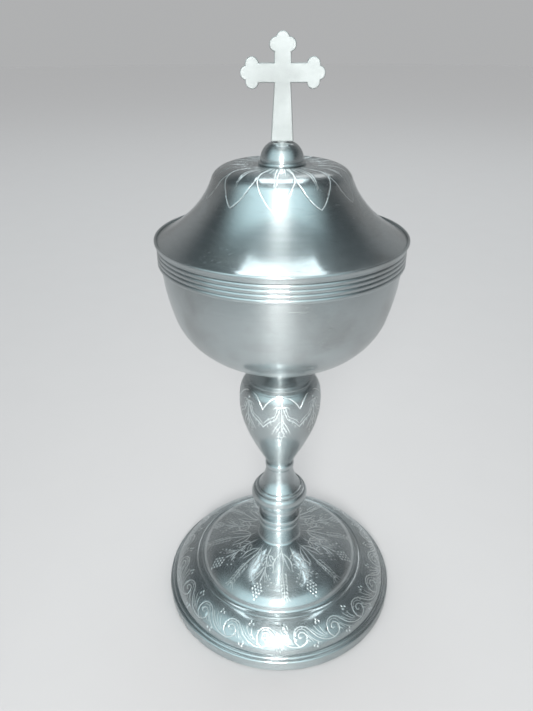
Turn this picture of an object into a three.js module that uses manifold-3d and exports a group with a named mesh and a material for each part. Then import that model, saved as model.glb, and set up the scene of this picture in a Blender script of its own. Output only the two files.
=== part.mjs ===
// A small silver-plated ciborium: a covered cup on a stem, with a domed engraved foot, a turned
// lower knop, an urn-shaped knop, a bowl with a reeded rim, and a lid with a budded cross.
// Millimetres, +Z up. The origin is the centre of the circle on which the foot stands.

import * as THREE from 'three';
import { mergeVertices } from 'three/addons/utils/BufferGeometryUtils.js';
import Module from 'manifold-3d';

const wasm = await Module();
wasm.setup();

// Fits and walls
const seatGap = 0.3;            // between two pieces that are soldered or clamped face to face
const boreClearance = 0.3;      // radial, round the tie rod and round the cross's pin
const lidClearance = 0.4;       // radial, between the lid's bezel and the bowl's wall
const sheet = 1.2;              // wall of the foot, the bowl and the lid
const knopSheet = 1.0;          // wall of the hollow urn knop

// Foot
const footRadius = 57.5;
const skirtHeight = 5;          // upright edge of the rim band
const skirtUndercut = 0.5;      // how far the skirt draws in towards the table
const rimWidth = 2.8;           // width of the moulded rim band, seen from above
const rimRise = 2;              // rise of the two reeds over that width
const rimReeds = 2;
const rimReedHeight = 0.55;
const bandRise = 10.4;          // height of the convex engraved band
const ledgeRadius = 43.1;       // corner at the top of the band
const cornerBead = 0.45;        // small bead raised on that corner
const ledgeWidth = 3.5;
const ledgeRise = 1.9;
const shoulderRun = 7.6;        // dome's convex shoulder, from the ledge inwards
const shoulderRise = 6.2;
const domeRise = 5.5;           // from the shoulder to the collar's seat

// Collar between the foot and the lower knop, from its foot upwards
const collarFoot = 10.9;
const collarRadius = 10;
const collarFlare = 1.9;
const collarShaft = 5;
const collarBead = 0.6;         // how far its two beads stand out
const collarBeadHeight = 3.65;
const collarNeck = 8.9;
const collarNeckHeight = 2.5;
const collarRing = 9.4;
const collarRingHeight = 1.7;
const collarLip = 0.8;

// Lower knop, from its foot upwards
const knopFoot = 8.6;
const knopRadius = 13.6;
const knopBellyRise = 7.4;
const knopStepRadius = 12.4;    // lower turned line
const knopStepRise = 2.9;
const knopRingRadius = 10.7;    // upper turned line, where the neck starts
const knopRingRise = 2;
const knopNeck = 6.4;
const knopNeckRise = 10.9;

// Ring between the two knops
const neckRingRadius = 6.9;
const neckRingHeight = 2.9;

// Urn knop
const urnNeck = 6.2;
const urnRadius = 18.5;
const urnBellyRise = 34.5;
const urnSeamRadius = 14.8;     // seam where its cap is soldered on
const urnSeamRise = 11.5;
const capRise = 2.1;
const capSeat = 8.2;            // flat on top of the cap

// Neck and boss under the bowl
const bowlNeckRadius = 7.6;
const bowlNeckWaist = 6.4;
const bowlNeckHeight = 4.2;
const bossRadius = 8.6;
const bossHeight = 3.4;

// Bowl
const bowlFlat = 9;             // flat of the bottom, where the boss is soldered
const bowlRadius = 48;          // outside, under the reeded band
const bowlTurnRadius = 44;      // where the bottom has turned into the side
const bowlTurnRise = 21.8;
const bowlSideRise = 22.8;      // from there to the foot of the band
const bandThickness = 1.2;
const bandHeight = 7.2;
const bandReeds = 4;
const bandReedHeight = 0.6;

// Lid
const lipOverhang = 0.8;        // how far the lip stands out past the reeded band
const lipHeight = 2.9;
const lipThickness = 0.9;
const lidEdgeInset = 0.6;       // how far the shell's edge stands in from the bowl's side
const crownEdgeRadius = 26.7;   // where the steep side turns into the crown
const crownEdgeRise = 22.1;
const crownRise = 4.4;
const crownFlat = 19;
const bezelDepth = 6;           // how far the bezel reaches into the bowl
const bezelWall = 1.2;

// Boss and cross
const bossRingRadius = 9.2;
const bossRingHeight = 1;
const lidBossRadius = 8.3;
const lidBossHeight = 6.2;
const lidBossTop = 4.4;
const crossThickness = 2.6;
const shaftFoot = 8.45;         // width of the shaft where it stands on the boss
const shaftTop = 6.1;           // width where it meets the arms
const armWidth = 6.5;
const armHeight = 23.1;         // of the arms' centre line above the cross's foot
const armReach = 15.2;          // from the shaft's centre line to the tip of an arm
const topReach = 13.3;          // from the arms' centre line to the tip of the top
const budRadius = 2.45;         // each of the three lobes at an end
const sideBudSpread = 2.85;     // how far an arm's side lobes sit from its centre line
const topBudSpread = 2.35;
const tipBudInset = 4.3;        // how far the side lobes sit behind the tip
const crossBevel = 0.35;

// Fasteners
const rodRadius = 3;            // tie rod
const rodGrip = 2.4;            // how far the rod's top end goes into the boss
const rodTail = 2.5;            // how far it stands out under its nut
const rodNutFlats = 10;
const rodNutHeight = 5;
const rodWasherRadius = 9.5;
const pinRadius = 2;            // threaded pin in one with the cross
const pinTail = 1.5;
const pinNutFlats = 7;
const pinNutHeight = 3.2;
const pinWasherRadius = 6;
const washerThickness = 1.2;

// How each turned profile bends between two of its corners: the two handles of the curve, each as
// shares of the way across and of the way up from the first corner to the second
const bandBend = [[0.04, 0.4], [0.5, 0.9]];
const shoulderBend = [[0.1, 0.45], [0.5, 0.8]];
const domeBend = [[0.3, 0.36], [0.75, 0.6]];
const knopBellyBend = [[0.55, 0.25], [1, 0.55]];
const knopStepBend = [[0, 0.5], [1, 1]];
const knopNeckBend = [[0.5, 0.25], [0.9, 0.6]];
const urnBellyBend = [[0.18, 0.16], [1, 0.6]];
const urnShoulderBend = [[0, 0.5], [0.15, 0.86]];
const capBend = [[0.15, 0.67], [0.5, 1]];
const neckBend = [[0.7, 0.3], [1, 0.6]];
const bowlBottomBend = [[0.42, 0.02], [0.84, 0.34]];
const bowlSideBend = [[0.4, 0.24], [1, 0.6]];
const cavettoBend = [[0, 0.6], [0.3, 1]];
const lidSideBend = [[0.31, 0.16], [0.79, 0.475]];
const crownBend = [[0.09, 0.4], [0.42, 0.93]];
const bossBend = [[0, 0.4], [0.4, 0.85]];

// Fineness of the turned surfaces
const wideFacets = 40;
const stemFacets = 28;
const boreFacets = 20;
const longSteps = 8;
const curveSteps = 4;
const shortSteps = 2;
const reedSteps = 3;
const lobeSegments = 8;

const rodBore = rodRadius + boreClearance;
const pinBore = pinRadius + boreClearance;
const collarHeight = collarFlare + collarShaft + 2 * collarBeadHeight + collarNeckHeight
  + collarRingHeight + collarLip;
const knopHeight = knopBellyRise + knopStepRise + knopRingRise + knopNeckRise;

// Heights of the pieces above the table, each standing on the one below
const bandFoot = skirtHeight + rimRise;
const ledgeHeight = bandFoot + bandRise;
const domeFoot = ledgeHeight + ledgeRise;
const footTop = domeFoot + shoulderRise + domeRise;
const collarBase = footTop + seatGap;
const knopBase = collarBase + collarHeight + seatGap;
const neckRingBase = knopBase + knopHeight + seatGap;
const urnBase = neckRingBase + neckRingHeight + seatGap;
const capBase = urnBase + urnBellyRise + urnSeamRise + seatGap;
const bowlNeckBase = capBase + capRise + seatGap;
const bossBase = bowlNeckBase + bowlNeckHeight + seatGap;
const bowlBase = bossBase + bossHeight + seatGap;
const bowlRim = bowlBase + bowlTurnRise + bowlSideRise + bandHeight;
const lidBase = bowlRim + seatGap;
const lipTop = lidBase + lipHeight;
const crownHeight = lipTop + crownEdgeRise + crownRise;
const bossRingBase = crownHeight + seatGap;
const lidBossBase = bossRingBase + bossRingHeight + seatGap;
const crossBase = lidBossBase + lidBossHeight + seatGap;

const silver = () => new THREE.MeshStandardMaterial({ color: 0xc9cdcf, metalness: 1, roughness: 0.22 });
const brass = () => new THREE.MeshStandardMaterial({ color: 0xb08d4a, metalness: 1, roughness: 0.4 });

const at = (radius, height) => new THREE.Vector2(radius, height);
const mix = THREE.MathUtils.lerp;

// A solid of revolution about Z. The outline is in radius and height; it ends on the axis at
// both ends, or it is closed here.
function turned(outline, facets) {
  const points = outline.map((point) => point.clone());
  const onAxis = points[0].x === 0 && points.at(-1).x === 0;
  if (THREE.ShapeUtils.area(points) < 0) points.reverse();
  if (!onAxis) points.push(points[0].clone());
  const geometry = new THREE.LatheGeometry(points, facets);
  geometry.rotateX(Math.PI / 2);
  return geometry;
}

// The outline of a spun sheet: the outer face as given, and an inner face one wall to its left.
function sheetOutline(outer, wall, innerFrom = outer) {
  const inner = innerFrom.map((point, i) => {
    const before = innerFrom[Math.max(i - 1, 0)];
    const after = innerFrom[Math.min(i + 1, innerFrom.length - 1)];
    const left = (from, to) => at(from.y - to.y, to.x - from.x).normalize();
    const a = i === 0 ? left(point, after) : left(before, point);
    const b = i === innerFrom.length - 1 ? a : left(point, after);
    return point.clone().addScaledVector(a.clone().add(b), wall / (1 + a.dot(b)));
  });
  return [...outer, ...inner.reverse()];
}

// Half-round reeds standing on the straight line between two points, to its right.
function reeds(from, to, count, height) {
  const out = at(to.y - from.y, from.x - to.x).normalize();
  const steps = reedSteps * count;
  return Array.from({ length: steps + 1 }, (_, i) => {
    const swell = height * Math.abs(Math.sin((Math.PI * count * i) / steps));
    return from.clone().lerp(to, i / steps).addScaledVector(out, swell);
  });
}

function curve(from, to, bend, steps = curveSteps) {
  const [first, second] = bend.map(([across, up]) => at(mix(from.x, to.x, across), mix(from.y, to.y, up)));
  return new THREE.CubicBezierCurve(from, first, second, to).getPoints(steps);
}

function washer(radius, bore, height) {
  const outline = [at(bore, 0), at(radius, 0), at(radius, washerThickness), at(bore, washerThickness)];
  const geometry = turned(outline, boreFacets);
  geometry.translate(0, 0, height);
  return geometry;
}

function hexNut(flats, bore, thickness, height) {
  const sides = 6;
  const corner = flats / 2 / Math.cos(Math.PI / sides);
  const corners = Array.from({ length: sides }, (_, i) => {
    const angle = (2 * Math.PI * i) / sides;
    return at(corner * Math.cos(angle), corner * Math.sin(angle));
  });
  const shape = new THREE.Shape(corners);
  shape.holes.push(new THREE.Path().absarc(0, 0, bore, 0, 2 * Math.PI, true));
  const geometry = new THREE.ExtrudeGeometry(shape, {
    depth: thickness, bevelEnabled: false, curveSegments: boreFacets / 2,
  });
  geometry.translate(0, 0, height);
  return geometry;
}

function solidOf(geometry) {
  const bare = geometry.clone();
  for (const name of Object.keys(bare.attributes)) if (name !== 'position') bare.deleteAttribute(name);
  const merged = mergeVertices(bare, 1e-4);
  return new wasm.Manifold(new wasm.Mesh({
    numProp: 3,
    vertProperties: new Float32Array(merged.attributes.position.array),
    triVerts: new Uint32Array(merged.index.array),
  }));
}

function geometryOf(solid) {
  const mesh = solid.getMesh();
  const geometry = new THREE.BufferGeometry();
  geometry.setAttribute('position', new THREE.BufferAttribute(mesh.vertProperties, 3));
  geometry.setIndex(new THREE.BufferAttribute(mesh.triVerts, 1));
  geometry.computeVertexNormals();
  return geometry;
}

// Foot: the moulded rim band that it stands on, with its skirt and two reeds

const rimInside = footRadius - rimWidth;

function footRimBand() {
  const low = at(footRadius, skirtHeight);
  const high = at(rimInside, skirtHeight + rimRise);
  const top = reeds(low, high, rimReeds, rimReedHeight);
  return turned([at(rimInside, 0), at(footRadius - skirtUndercut, 0), ...top], wideFacets);
}

// Foot: one spun sheet, with the convex band, the ledge and the dome

function footOuter(bead) {
  const bandStart = at(rimInside - seatGap, bandFoot);
  const corner = at(ledgeRadius, ledgeHeight);
  const beadTop = corner.y + bead;
  const beads = bead ? [at(corner.x - bead, beadTop), at(corner.x - 2 * bead, beadTop)] : [];
  const domeEdge = at(ledgeRadius - ledgeWidth, domeFoot);
  const ledgeHollow = at(mix(corner.x, domeEdge.x, 0.65), mix(corner.y, domeEdge.y, 0.3));
  const shoulder = at(domeEdge.x - shoulderRun, domeFoot + shoulderRise);
  const seat = at(collarFoot, footTop);
  return [
    at(bandStart.x, bandFoot - sheet),
    ...curve(bandStart, corner, bandBend),
    ...beads,
    ledgeHollow,
    ...curve(domeEdge, shoulder, shoulderBend, shortSteps),
    ...curve(shoulder, seat, domeBend).slice(1),
    at(rodBore, footTop),
  ];
}

function footShell() {
  return turned(sheetOutline(footOuter(cornerBead), sheet, footOuter(0)), wideFacets);
}

// Stem: every piece is bored for the tie rod and stands on the one below

function bored(outer) {
  return turned([at(rodBore, outer[0].y), ...outer, at(rodBore, outer.at(-1).y)], stemFacets);
}

function footCollar() {
  const flareTop = collarBase + collarFlare;
  const beadFoot = flareTop + collarShaft;
  const beadTop = beadFoot + 2 * collarBeadHeight;
  const ringFoot = beadTop + collarNeckHeight;
  const ringTop = ringFoot + collarRingHeight;
  return bored([
    at(collarFoot, collarBase),
    at(collarRadius, flareTop),
    ...reeds(at(collarRadius, beadFoot), at(collarRadius, beadTop), 2, collarBead),
    at(collarNeck, beadTop + collarBead),
    at(collarNeck, ringFoot - collarBead),
    at(collarRing, ringFoot),
    at(collarRing, ringTop),
    at(collarNeck, ringTop + collarLip),
  ]);
}

function lowerKnop() {
  const foot = at(knopFoot, knopBase);
  const belly = at(knopRadius, knopBase + knopBellyRise);
  const step = at(knopStepRadius, belly.y + knopStepRise);
  const ring = at(knopRingRadius, step.y + knopRingRise);
  const top = at(knopNeck, ring.y + knopNeckRise);
  return bored([
    ...curve(foot, belly, knopBellyBend),
    ...curve(belly, step, knopStepBend, shortSteps).slice(1),
    ...curve(ring, top, knopNeckBend, curveSteps + 1),
  ]);
}

function neckRing() {
  const low = at(knopNeck, neckRingBase);
  const high = at(knopNeck, neckRingBase + neckRingHeight);
  return bored(reeds(low, high, 1, neckRingRadius - knopNeck));
}

// Urn knop: a hollow body open at the top, closed by a cap

function urnKnop() {
  const neck = at(urnNeck, urnBase);
  const belly = at(urnRadius, urnBase + urnBellyRise);
  const seam = at(urnSeamRadius, belly.y + urnSeamRise);
  const outer = [
    at(rodBore, urnBase),
    ...curve(neck, belly, urnBellyBend, longSteps),
    ...curve(belly, seam, urnShoulderBend, curveSteps - 1).slice(1),
  ];
  return turned(sheetOutline(outer, knopSheet), stemFacets);
}

function urnCap() {
  const edge = at(urnSeamRadius, capBase);
  const seat = at(capSeat, capBase + capRise);
  const ceiling = seat.y - knopSheet;
  return turned([
    edge,
    ...curve(at(edge.x, edge.y + knopSheet / 2), seat, capBend, shortSteps),
    at(rodBore, seat.y),
    at(rodBore, ceiling),
    at(seat.x, ceiling),
    at(edge.x - knopSheet, edge.y),
  ], stemFacets);
}

function bowlNeck() {
  const low = at(bowlNeckRadius, bowlNeckBase);
  const waist = at(bowlNeckWaist, bowlNeckBase + bowlNeckHeight / 2);
  const high = at(bossRadius, bowlNeckBase + bowlNeckHeight);
  const widening = curve(high, waist, neckBend, shortSteps).reverse();
  return bored([...curve(low, waist, neckBend, shortSteps), ...widening.slice(1)]);
}

// The boss is soldered under the bowl and takes the rod's top end in a blind bore.
function bowlBoss() {
  const top = bossBase + bossHeight;
  const blind = bossBase + rodGrip + boreClearance;
  return turned([
    at(0, blind),
    at(rodBore, blind),
    at(rodBore, bossBase),
    at(bossRadius, bossBase),
    at(bowlFlat, top),
    at(0, top),
  ], stemFacets);
}

// Bowl and its reeded band

function bowl() {
  const flat = at(bowlFlat, bowlBase);
  const turn = at(bowlTurnRadius, bowlBase + bowlTurnRise);
  const side = at(bowlRadius, turn.y + bowlSideRise);
  const outer = [
    at(0, bowlBase),
    ...curve(flat, turn, bowlBottomBend, longSteps - 2),
    ...curve(turn, side, bowlSideBend, shortSteps).slice(1),
    at(bowlRadius, bowlRim),
  ];
  return turned(sheetOutline(outer, sheet), wideFacets);
}

const reedRoot = bowlRadius + seatGap + bandThickness - bandReedHeight;

function bowlRimBand() {
  const inside = bowlRadius + seatGap;
  const low = bowlRim - bandHeight;
  const outer = reeds(at(reedRoot, low), at(reedRoot, bowlRim), bandReeds, bandReedHeight);
  return turned([at(inside, low), ...outer, at(inside, bowlRim)], wideFacets);
}

// Lid: the rim band with its cavetto, its lip and a rabbet for the shell's edge, the bezel that
// guides the lid in the bowl, and the spun shell

const bezelOuter = bowlRadius - sheet - lidClearance;
const lidEdgeRadius = bowlRadius - lidEdgeInset;
const rabbetHeight = lipTop - sheet - seatGap;

function lidRimBand() {
  const inside = bezelOuter + seatGap;
  const root = at(reedRoot + bandReedHeight, lidBase);
  const lip = at(root.x + lipOverhang, lipTop - lipThickness);
  const beadSide = mix(lip.y, lipTop, 0.6);
  const rabbet = lidEdgeRadius + seatGap;
  return turned([
    at(inside, lidBase),
    ...curve(root, lip, cavettoBend, curveSteps - 1),
    at(lip.x, beadSide),
    at(lip.x - lipThickness / 2, lipTop),
    at(lip.x - lipThickness, beadSide),
    at(rabbet, lipTop - seatGap),
    at(rabbet, rabbetHeight),
    at(inside, rabbetHeight),
  ], wideFacets);
}

function lidBezel() {
  const inside = bezelOuter - bezelWall;
  const low = lidBase - bezelDepth;
  return turned([
    at(inside, low),
    at(bezelOuter - seatGap, low),
    at(bezelOuter, low + 2 * seatGap),
    at(bezelOuter, rabbetHeight),
    at(inside, rabbetHeight),
  ], wideFacets);
}

function lidShell() {
  const edge = at(lidEdgeRadius, lipTop);
  const turn = at(crownEdgeRadius, lipTop + crownEdgeRise);
  const flat = at(crownFlat, crownHeight);
  const outer = [
    at(edge.x, edge.y - sheet),
    ...curve(edge, turn, lidSideBend, longSteps - 2),
    ...curve(turn, flat, crownBend, curveSteps - 1).slice(1),
    at(pinBore, crownHeight),
  ];
  return turned(sheetOutline(outer, sheet), wideFacets);
}

// Boss ring, boss and cross on top of the lid

function lidBossRing() {
  const swell = bossRingHeight / 2;
  const low = at(bossRingRadius - swell, bossRingBase);
  const high = at(low.x, bossRingBase + bossRingHeight);
  const outer = reeds(low, high, 1, swell);
  return turned([at(pinBore, low.y), ...outer, at(pinBore, high.y)], boreFacets);
}

function lidBoss() {
  const foot = at(lidBossRadius, lidBossBase);
  const top = at(lidBossTop, lidBossBase + lidBossHeight);
  return turned([at(pinBore, foot.y), ...curve(foot, top, bossBend), at(pinBore, top.y)], boreFacets);
}

function plate(shape) {
  const geometry = new THREE.ExtrudeGeometry(shape, {
    depth: crossThickness - 2 * crossBevel,
    bevelThickness: crossBevel,
    bevelSize: crossBevel,
    bevelOffset: -crossBevel,
    bevelSegments: 1,
    curveSegments: lobeSegments,
  });
  geometry.translate(0, 0, crossBevel - crossThickness / 2);
  return geometry;
}

// A flat bar that runs along +Y from the origin.
function bar(width, length, farWidth = width) {
  return plate(new THREE.Shape([
    at(-width / 2, 0),
    at(width / 2, 0),
    at(farWidth / 2, length),
    at(-farWidth / 2, length),
  ]));
}

// One end of the cross, which runs along +Y from the centre of the arms: a bar, a lobe at its tip
// and two lobes beside it.
function buddedEnd(width, reach, spread) {
  const behind = reach - tipBudInset;
  const centres = [at(0, reach - budRadius), at(spread, behind), at(-spread, behind)];
  const lobes = centres.map(({ x, y }) => {
    const lobe = plate(new THREE.Shape().absarc(0, 0, budRadius, 0, 2 * Math.PI));
    lobe.translate(x, y, 0);
    return lobe;
  });
  return [bar(width, behind), ...lobes];
}

const crownPlate = sheet + seatGap;
const pinLength = lidBossHeight + bossRingHeight + 3 * seatGap + crownPlate
  + washerThickness + seatGap + pinNutHeight + pinTail;

// The cross and the threaded pin below it, in one piece. The pin runs a little way up into the shaft.
function cross() {
  const shaft = bar(shaftFoot, armHeight, shaftTop);
  shaft.translate(0, -armHeight, 0);
  let solid = solidOf(shaft);
  const ends = [
    [0, buddedEnd(shaftTop, topReach, topBudSpread)],
    [Math.PI / 2, buddedEnd(armWidth, armReach, sideBudSpread)],
    [-Math.PI / 2, buddedEnd(armWidth, armReach, sideBudSpread)],
  ];
  for (const [turn, pieces] of ends) {
    for (const piece of pieces) {
      piece.rotateZ(turn);
      solid = solid.add(solidOf(piece));
    }
  }
  const flatCross = geometryOf(solid);
  flatCross.rotateX(Math.PI / 2);
  flatCross.translate(0, 0, armHeight);
  const pin = turned([
    at(0, -pinLength),
    at(pinRadius, -pinLength),
    at(pinRadius, 0),
    at(crossThickness / 2, crossThickness),
    at(0, crossThickness),
  ], boreFacets);
  const geometry = geometryOf(solidOf(flatCross).add(solidOf(pin)));
  geometry.translate(0, 0, crossBase);
  return geometry;
}

// Fasteners

const footWasherBase = footTop - sheet - seatGap - washerThickness;
const rodNutBase = footWasherBase - seatGap - rodNutHeight;
const lidWasherBase = crownHeight - crownPlate - washerThickness;
const pinNutBase = lidWasherBase - seatGap - pinNutHeight;

function tieRod() {
  const low = rodNutBase - rodTail;
  const high = bossBase + rodGrip;
  return turned([at(0, low), at(rodRadius, low), at(rodRadius, high), at(0, high)], boreFacets);
}

const cupPieces = {
  foot_rim_band: [footRimBand(), silver()],
  foot_shell: [footShell(), silver()],
  foot_collar: [footCollar(), silver()],
  lower_knop: [lowerKnop(), silver()],
  neck_ring: [neckRing(), silver()],
  urn_knop: [urnKnop(), silver()],
  urn_cap: [urnCap(), silver()],
  bowl_neck: [bowlNeck(), silver()],
  bowl_boss: [bowlBoss(), silver()],
  bowl: [bowl(), silver()],
  bowl_rim_band: [bowlRimBand(), silver()],
  tie_rod: [tieRod(), brass()],
  foot_washer: [washer(rodWasherRadius, rodBore, footWasherBase), brass()],
  foot_nut: [hexNut(rodNutFlats, rodBore, rodNutHeight, rodNutBase), brass()],
};

const lidPieces = {
  lid_rim_band: [lidRimBand(), silver()],
  lid_bezel: [lidBezel(), silver()],
  lid_shell: [lidShell(), silver()],
  lid_boss_ring: [lidBossRing(), silver()],
  lid_boss: [lidBoss(), silver()],
  cross: [cross(), silver()],
  cross_washer: [washer(pinWasherRadius, pinBore, lidWasherBase), brass()],
  cross_nut: [hexNut(pinNutFlats, pinBore, pinNutHeight, pinNutBase), brass()],
};

function assembly(pieces) {
  const group = new THREE.Group();
  for (const [name, [geometry, material]] of Object.entries(pieces)) {
    const mesh = new THREE.Mesh(geometry, material);
    mesh.name = name;
    group.add(mesh);
  }
  return group;
}

const group = new THREE.Group();
group.add(assembly(cupPieces), assembly(lidPieces));

export default group;
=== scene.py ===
# %% [markdown]
# A small silver ciborium: a covered cup on a knopped stem, with an engraved domed foot and a lid
# that ends in a cross. Nearly every piece of it is turned or spun, so nearly every piece here is an
# outline that spins once round the upright axis. The measured frame says where each piece sits.

# %% Load the frame
import math

import bmesh
import bpy
import numpy as np
from mathutils import Matrix, Vector
from mathutils.geometry import interpolate_bezier
from mathutils.kdtree import KDTree


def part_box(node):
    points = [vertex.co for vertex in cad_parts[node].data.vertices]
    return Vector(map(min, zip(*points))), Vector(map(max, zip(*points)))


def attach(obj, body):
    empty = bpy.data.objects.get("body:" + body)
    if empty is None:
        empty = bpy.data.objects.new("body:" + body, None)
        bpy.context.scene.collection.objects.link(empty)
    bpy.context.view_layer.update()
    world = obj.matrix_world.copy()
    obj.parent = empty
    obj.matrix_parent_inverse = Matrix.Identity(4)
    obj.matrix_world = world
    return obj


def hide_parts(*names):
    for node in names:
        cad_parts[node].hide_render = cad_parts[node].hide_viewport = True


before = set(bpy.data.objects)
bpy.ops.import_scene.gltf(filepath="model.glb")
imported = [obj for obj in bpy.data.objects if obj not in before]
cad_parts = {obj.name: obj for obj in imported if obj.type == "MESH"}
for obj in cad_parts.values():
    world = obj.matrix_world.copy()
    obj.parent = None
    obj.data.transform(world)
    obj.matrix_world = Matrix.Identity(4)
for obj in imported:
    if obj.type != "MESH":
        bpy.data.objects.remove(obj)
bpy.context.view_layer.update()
MM = 0.001

# %% [markdown]
# The camera stands where the photographer stood. Its height, distance and tilt were worked out
# from the ellipses of the foot, the rim and the lid, so it is written as those real sizes.

# %% Camera
CAMERA_DISTANCE = 237.6      # in front of the stem, in millimetres
CAMERA_HEIGHT = 259.7        # above the table
CAMERA_PITCH = math.radians(27.89)
CAMERA_YAW = math.radians(-1.48)
CAMERA_ROLL = math.radians(-0.23)
PHOTO_HEIGHT = 711           # pixels
FOCAL_PIXELS = 610.3
SENSOR = 36.0


def camera_matrix():
    ahead = math.cos(CAMERA_PITCH)
    forward = Vector((math.sin(CAMERA_YAW) * ahead, math.cos(CAMERA_YAW) * ahead, -math.sin(CAMERA_PITCH)))
    right = Vector((math.cos(CAMERA_YAW), -math.sin(CAMERA_YAW), 0))
    up = right.cross(forward)
    turned_right = right * math.cos(CAMERA_ROLL) + up * math.sin(CAMERA_ROLL)
    turned_up = up * math.cos(CAMERA_ROLL) - right * math.sin(CAMERA_ROLL)
    place = Matrix((turned_right, turned_up, -forward)).transposed().to_4x4()
    place.translation = (0, -CAMERA_DISTANCE * MM, CAMERA_HEIGHT * MM)
    return place


scene = bpy.context.scene
camera_data = bpy.data.cameras.new("camera")
camera_data.sensor_width = SENSOR
camera_data.lens = FOCAL_PIXELS * SENSOR / PHOTO_HEIGHT
camera_data.clip_start = 0.01
camera = bpy.data.objects.new("camera", camera_data)
camera.matrix_world = camera_matrix()
scene.collection.objects.link(camera)
scene.camera = camera
scene.view_settings.view_transform = "Standard"
print("lens", round(camera_data.lens, 2), "mm on a", SENSOR, "mm sensor")

# %% [markdown]
# Polished silver has hardly a colour of its own: it shows what stands round it. So the studio matters
# as much as the metal. Floor, room and finishes are all trees of nodes, and a few helpers keep those
# trees short. Each makes one node and feeds its inputs with numbers, colours or other nodes' outputs.

# %% Helpers for node trees


def feed(tree, socket, source):
    """Give a socket a number or a colour, or wire another node's output to it."""
    if isinstance(source, bpy.types.NodeSocket):
        tree.links.new(source, socket)
    else:
        socket.default_value = source


def add(tree, kind, **sources):
    """A new node of a kind, with some of its inputs fed under their own names."""
    made = tree.nodes.new("ShaderNode" + kind)
    for name, source in sources.items():
        feed(tree, made.inputs[name.replace("_", " ").title()], source)
    return made


def number(tree, operation, *sources):
    """The result of one step of arithmetic."""
    made = add(tree, "Math")
    made.operation = operation
    for socket, source in zip(made.inputs, sources):
        feed(tree, socket, source)
    return made.outputs[0]


def blend(tree, share, first, second):
    """A colour between two others, by a share from 0 to 1."""
    made = add(tree, "Mix")
    made.data_type = "RGBA"
    for name, source in (("Factor", share), ("A", first), ("B", second)):
        feed(tree, made.inputs[name], source)
    return made.outputs["Result"]


def soft_step(tree, source, low, high):
    """0 below one value, 1 above another, and a soft rise between them."""
    made = add(tree, "MapRange", value=source, from_min=low, from_max=high)
    made.interpolation_type = "SMOOTHSTEP"
    return made.outputs[0]


def noise(tree, place, scale, detail, roughness=0.5):
    made = add(tree, "TexNoise", vector=place, scale=scale, detail=detail, roughness=roughness)
    return made.outputs["Fac"]


# %% [markdown]
# The floor is one wide sheet of pale grey paper with a faint grain. It is a plain disc, so wide that
# its edge is never seen.

# %% Paper floor
FLOOR_RADIUS = 6.0           # in metres
PAPER = (0.55, 0.55, 0.555, 1)
PAPER_DARK = (0.535, 0.535, 0.54, 1)
PAPER_GRAIN = 30
PAPER_ROUGHNESS = 0.9
PAPER_SPECULAR = 0.2


def new_material(name):
    """A material, its tree and its shader."""
    material = bpy.data.materials.new(name)
    material.use_nodes = True
    return material, material.node_tree, material.node_tree.nodes["Principled BSDF"]


def paper():
    material, tree, shader = new_material("pale_paper")
    shader.inputs["Roughness"].default_value = PAPER_ROUGHNESS
    shader.inputs["Specular IOR Level"].default_value = PAPER_SPECULAR
    grain = noise(tree, add(tree, "TexCoord").outputs["Object"], PAPER_GRAIN, 6)
    feed(tree, shader.inputs["Base Color"], blend(tree, grain, PAPER_DARK, PAPER))
    return material


def paper_floor():
    bm = bmesh.new()
    bmesh.ops.create_circle(bm, cap_ends=True, segments=96, radius=FLOOR_RADIUS)
    mesh = bpy.data.meshes.new("floor")
    bm.to_mesh(mesh)
    bm.free()
    mesh.materials.append(paper())
    sheet = bpy.data.objects.new("floor", mesh)
    scene.collection.objects.link(sheet)
    return sheet


floor = paper_floor()
print("the paper reaches", FLOOR_RADIUS, "metres each way")

# %% [markdown]
# Above the floor the room is a soft gradient: as pale as the paper at eye level, so that floor and room
# meet without a line, and darker above, so that the metal has something dark to show. The pale part
# reaches higher behind the piece than on the camera's side, as a sheet of backdrop paper would, and the
# rims of the metal show it. High behind the camera hangs the cool glow of a wide window. Heights here
# are those of points on a ball of radius 1 round the piece.

# %% What the metal shows of the room
ROOM_LOW = (0.355, 0.36, 0.363, 1)
ROOM_HIGH = (0.055, 0.072, 0.08, 1)
ROOM_DARKENS = (0.04, 0.42)  # the heights between which it darkens
ROOM_SLANT = -0.95           # how much higher the pale part reaches behind than in front
GLOW = (1.30, 1.70, 1.78, 1)
GLOW_SIDE = math.radians(-10)        # from the front
GLOW_HEIGHT = math.radians(24)       # above the table
GLOW_EDGE = math.cos(math.radians(82))
GLOW_CORE = math.cos(math.radians(12))
GLOW_STARTS = (-0.02, 0.08)  # the heights between which it comes up over the table
GLOW_FADES = (0.78, 0.92)    # and those between which it fades overhead
GLOW_GONE = 0.85             # how much of it is gone there


def room_gradient(tree, y, z):
    slanted = number(tree, "MULTIPLY", number(tree, "MULTIPLY_ADD", y, ROOM_SLANT, 1), z)
    return blend(tree, soft_step(tree, slanted, *ROOM_DARKENS), ROOM_LOW, ROOM_HIGH)


def window_glow(tree, direction, z):
    """How much of the window is seen in a direction, from 0 to 1."""
    middle = Vector((math.sin(GLOW_SIDE), -math.cos(GLOW_SIDE), math.tan(GLOW_HEIGHT))).normalized()
    towards = add(tree, "VectorMath")
    towards.operation = "DOT_PRODUCT"
    feed(tree, towards.inputs[0], direction)
    feed(tree, towards.inputs[1], middle)
    disc = soft_step(tree, towards.outputs["Value"], GLOW_EDGE, GLOW_CORE)
    above = soft_step(tree, z, *GLOW_STARTS)
    left = number(tree, "MULTIPLY_ADD", soft_step(tree, z, *GLOW_FADES), -GLOW_GONE, above)
    return number(tree, "MULTIPLY", disc, left)


# %% [markdown]
# Only the metal shows all that. The camera sees plain backdrop paper, and the floor is lit evenly from
# all round. The Light Path node knows what kind of ray has come, and so tells the three apart.

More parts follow.
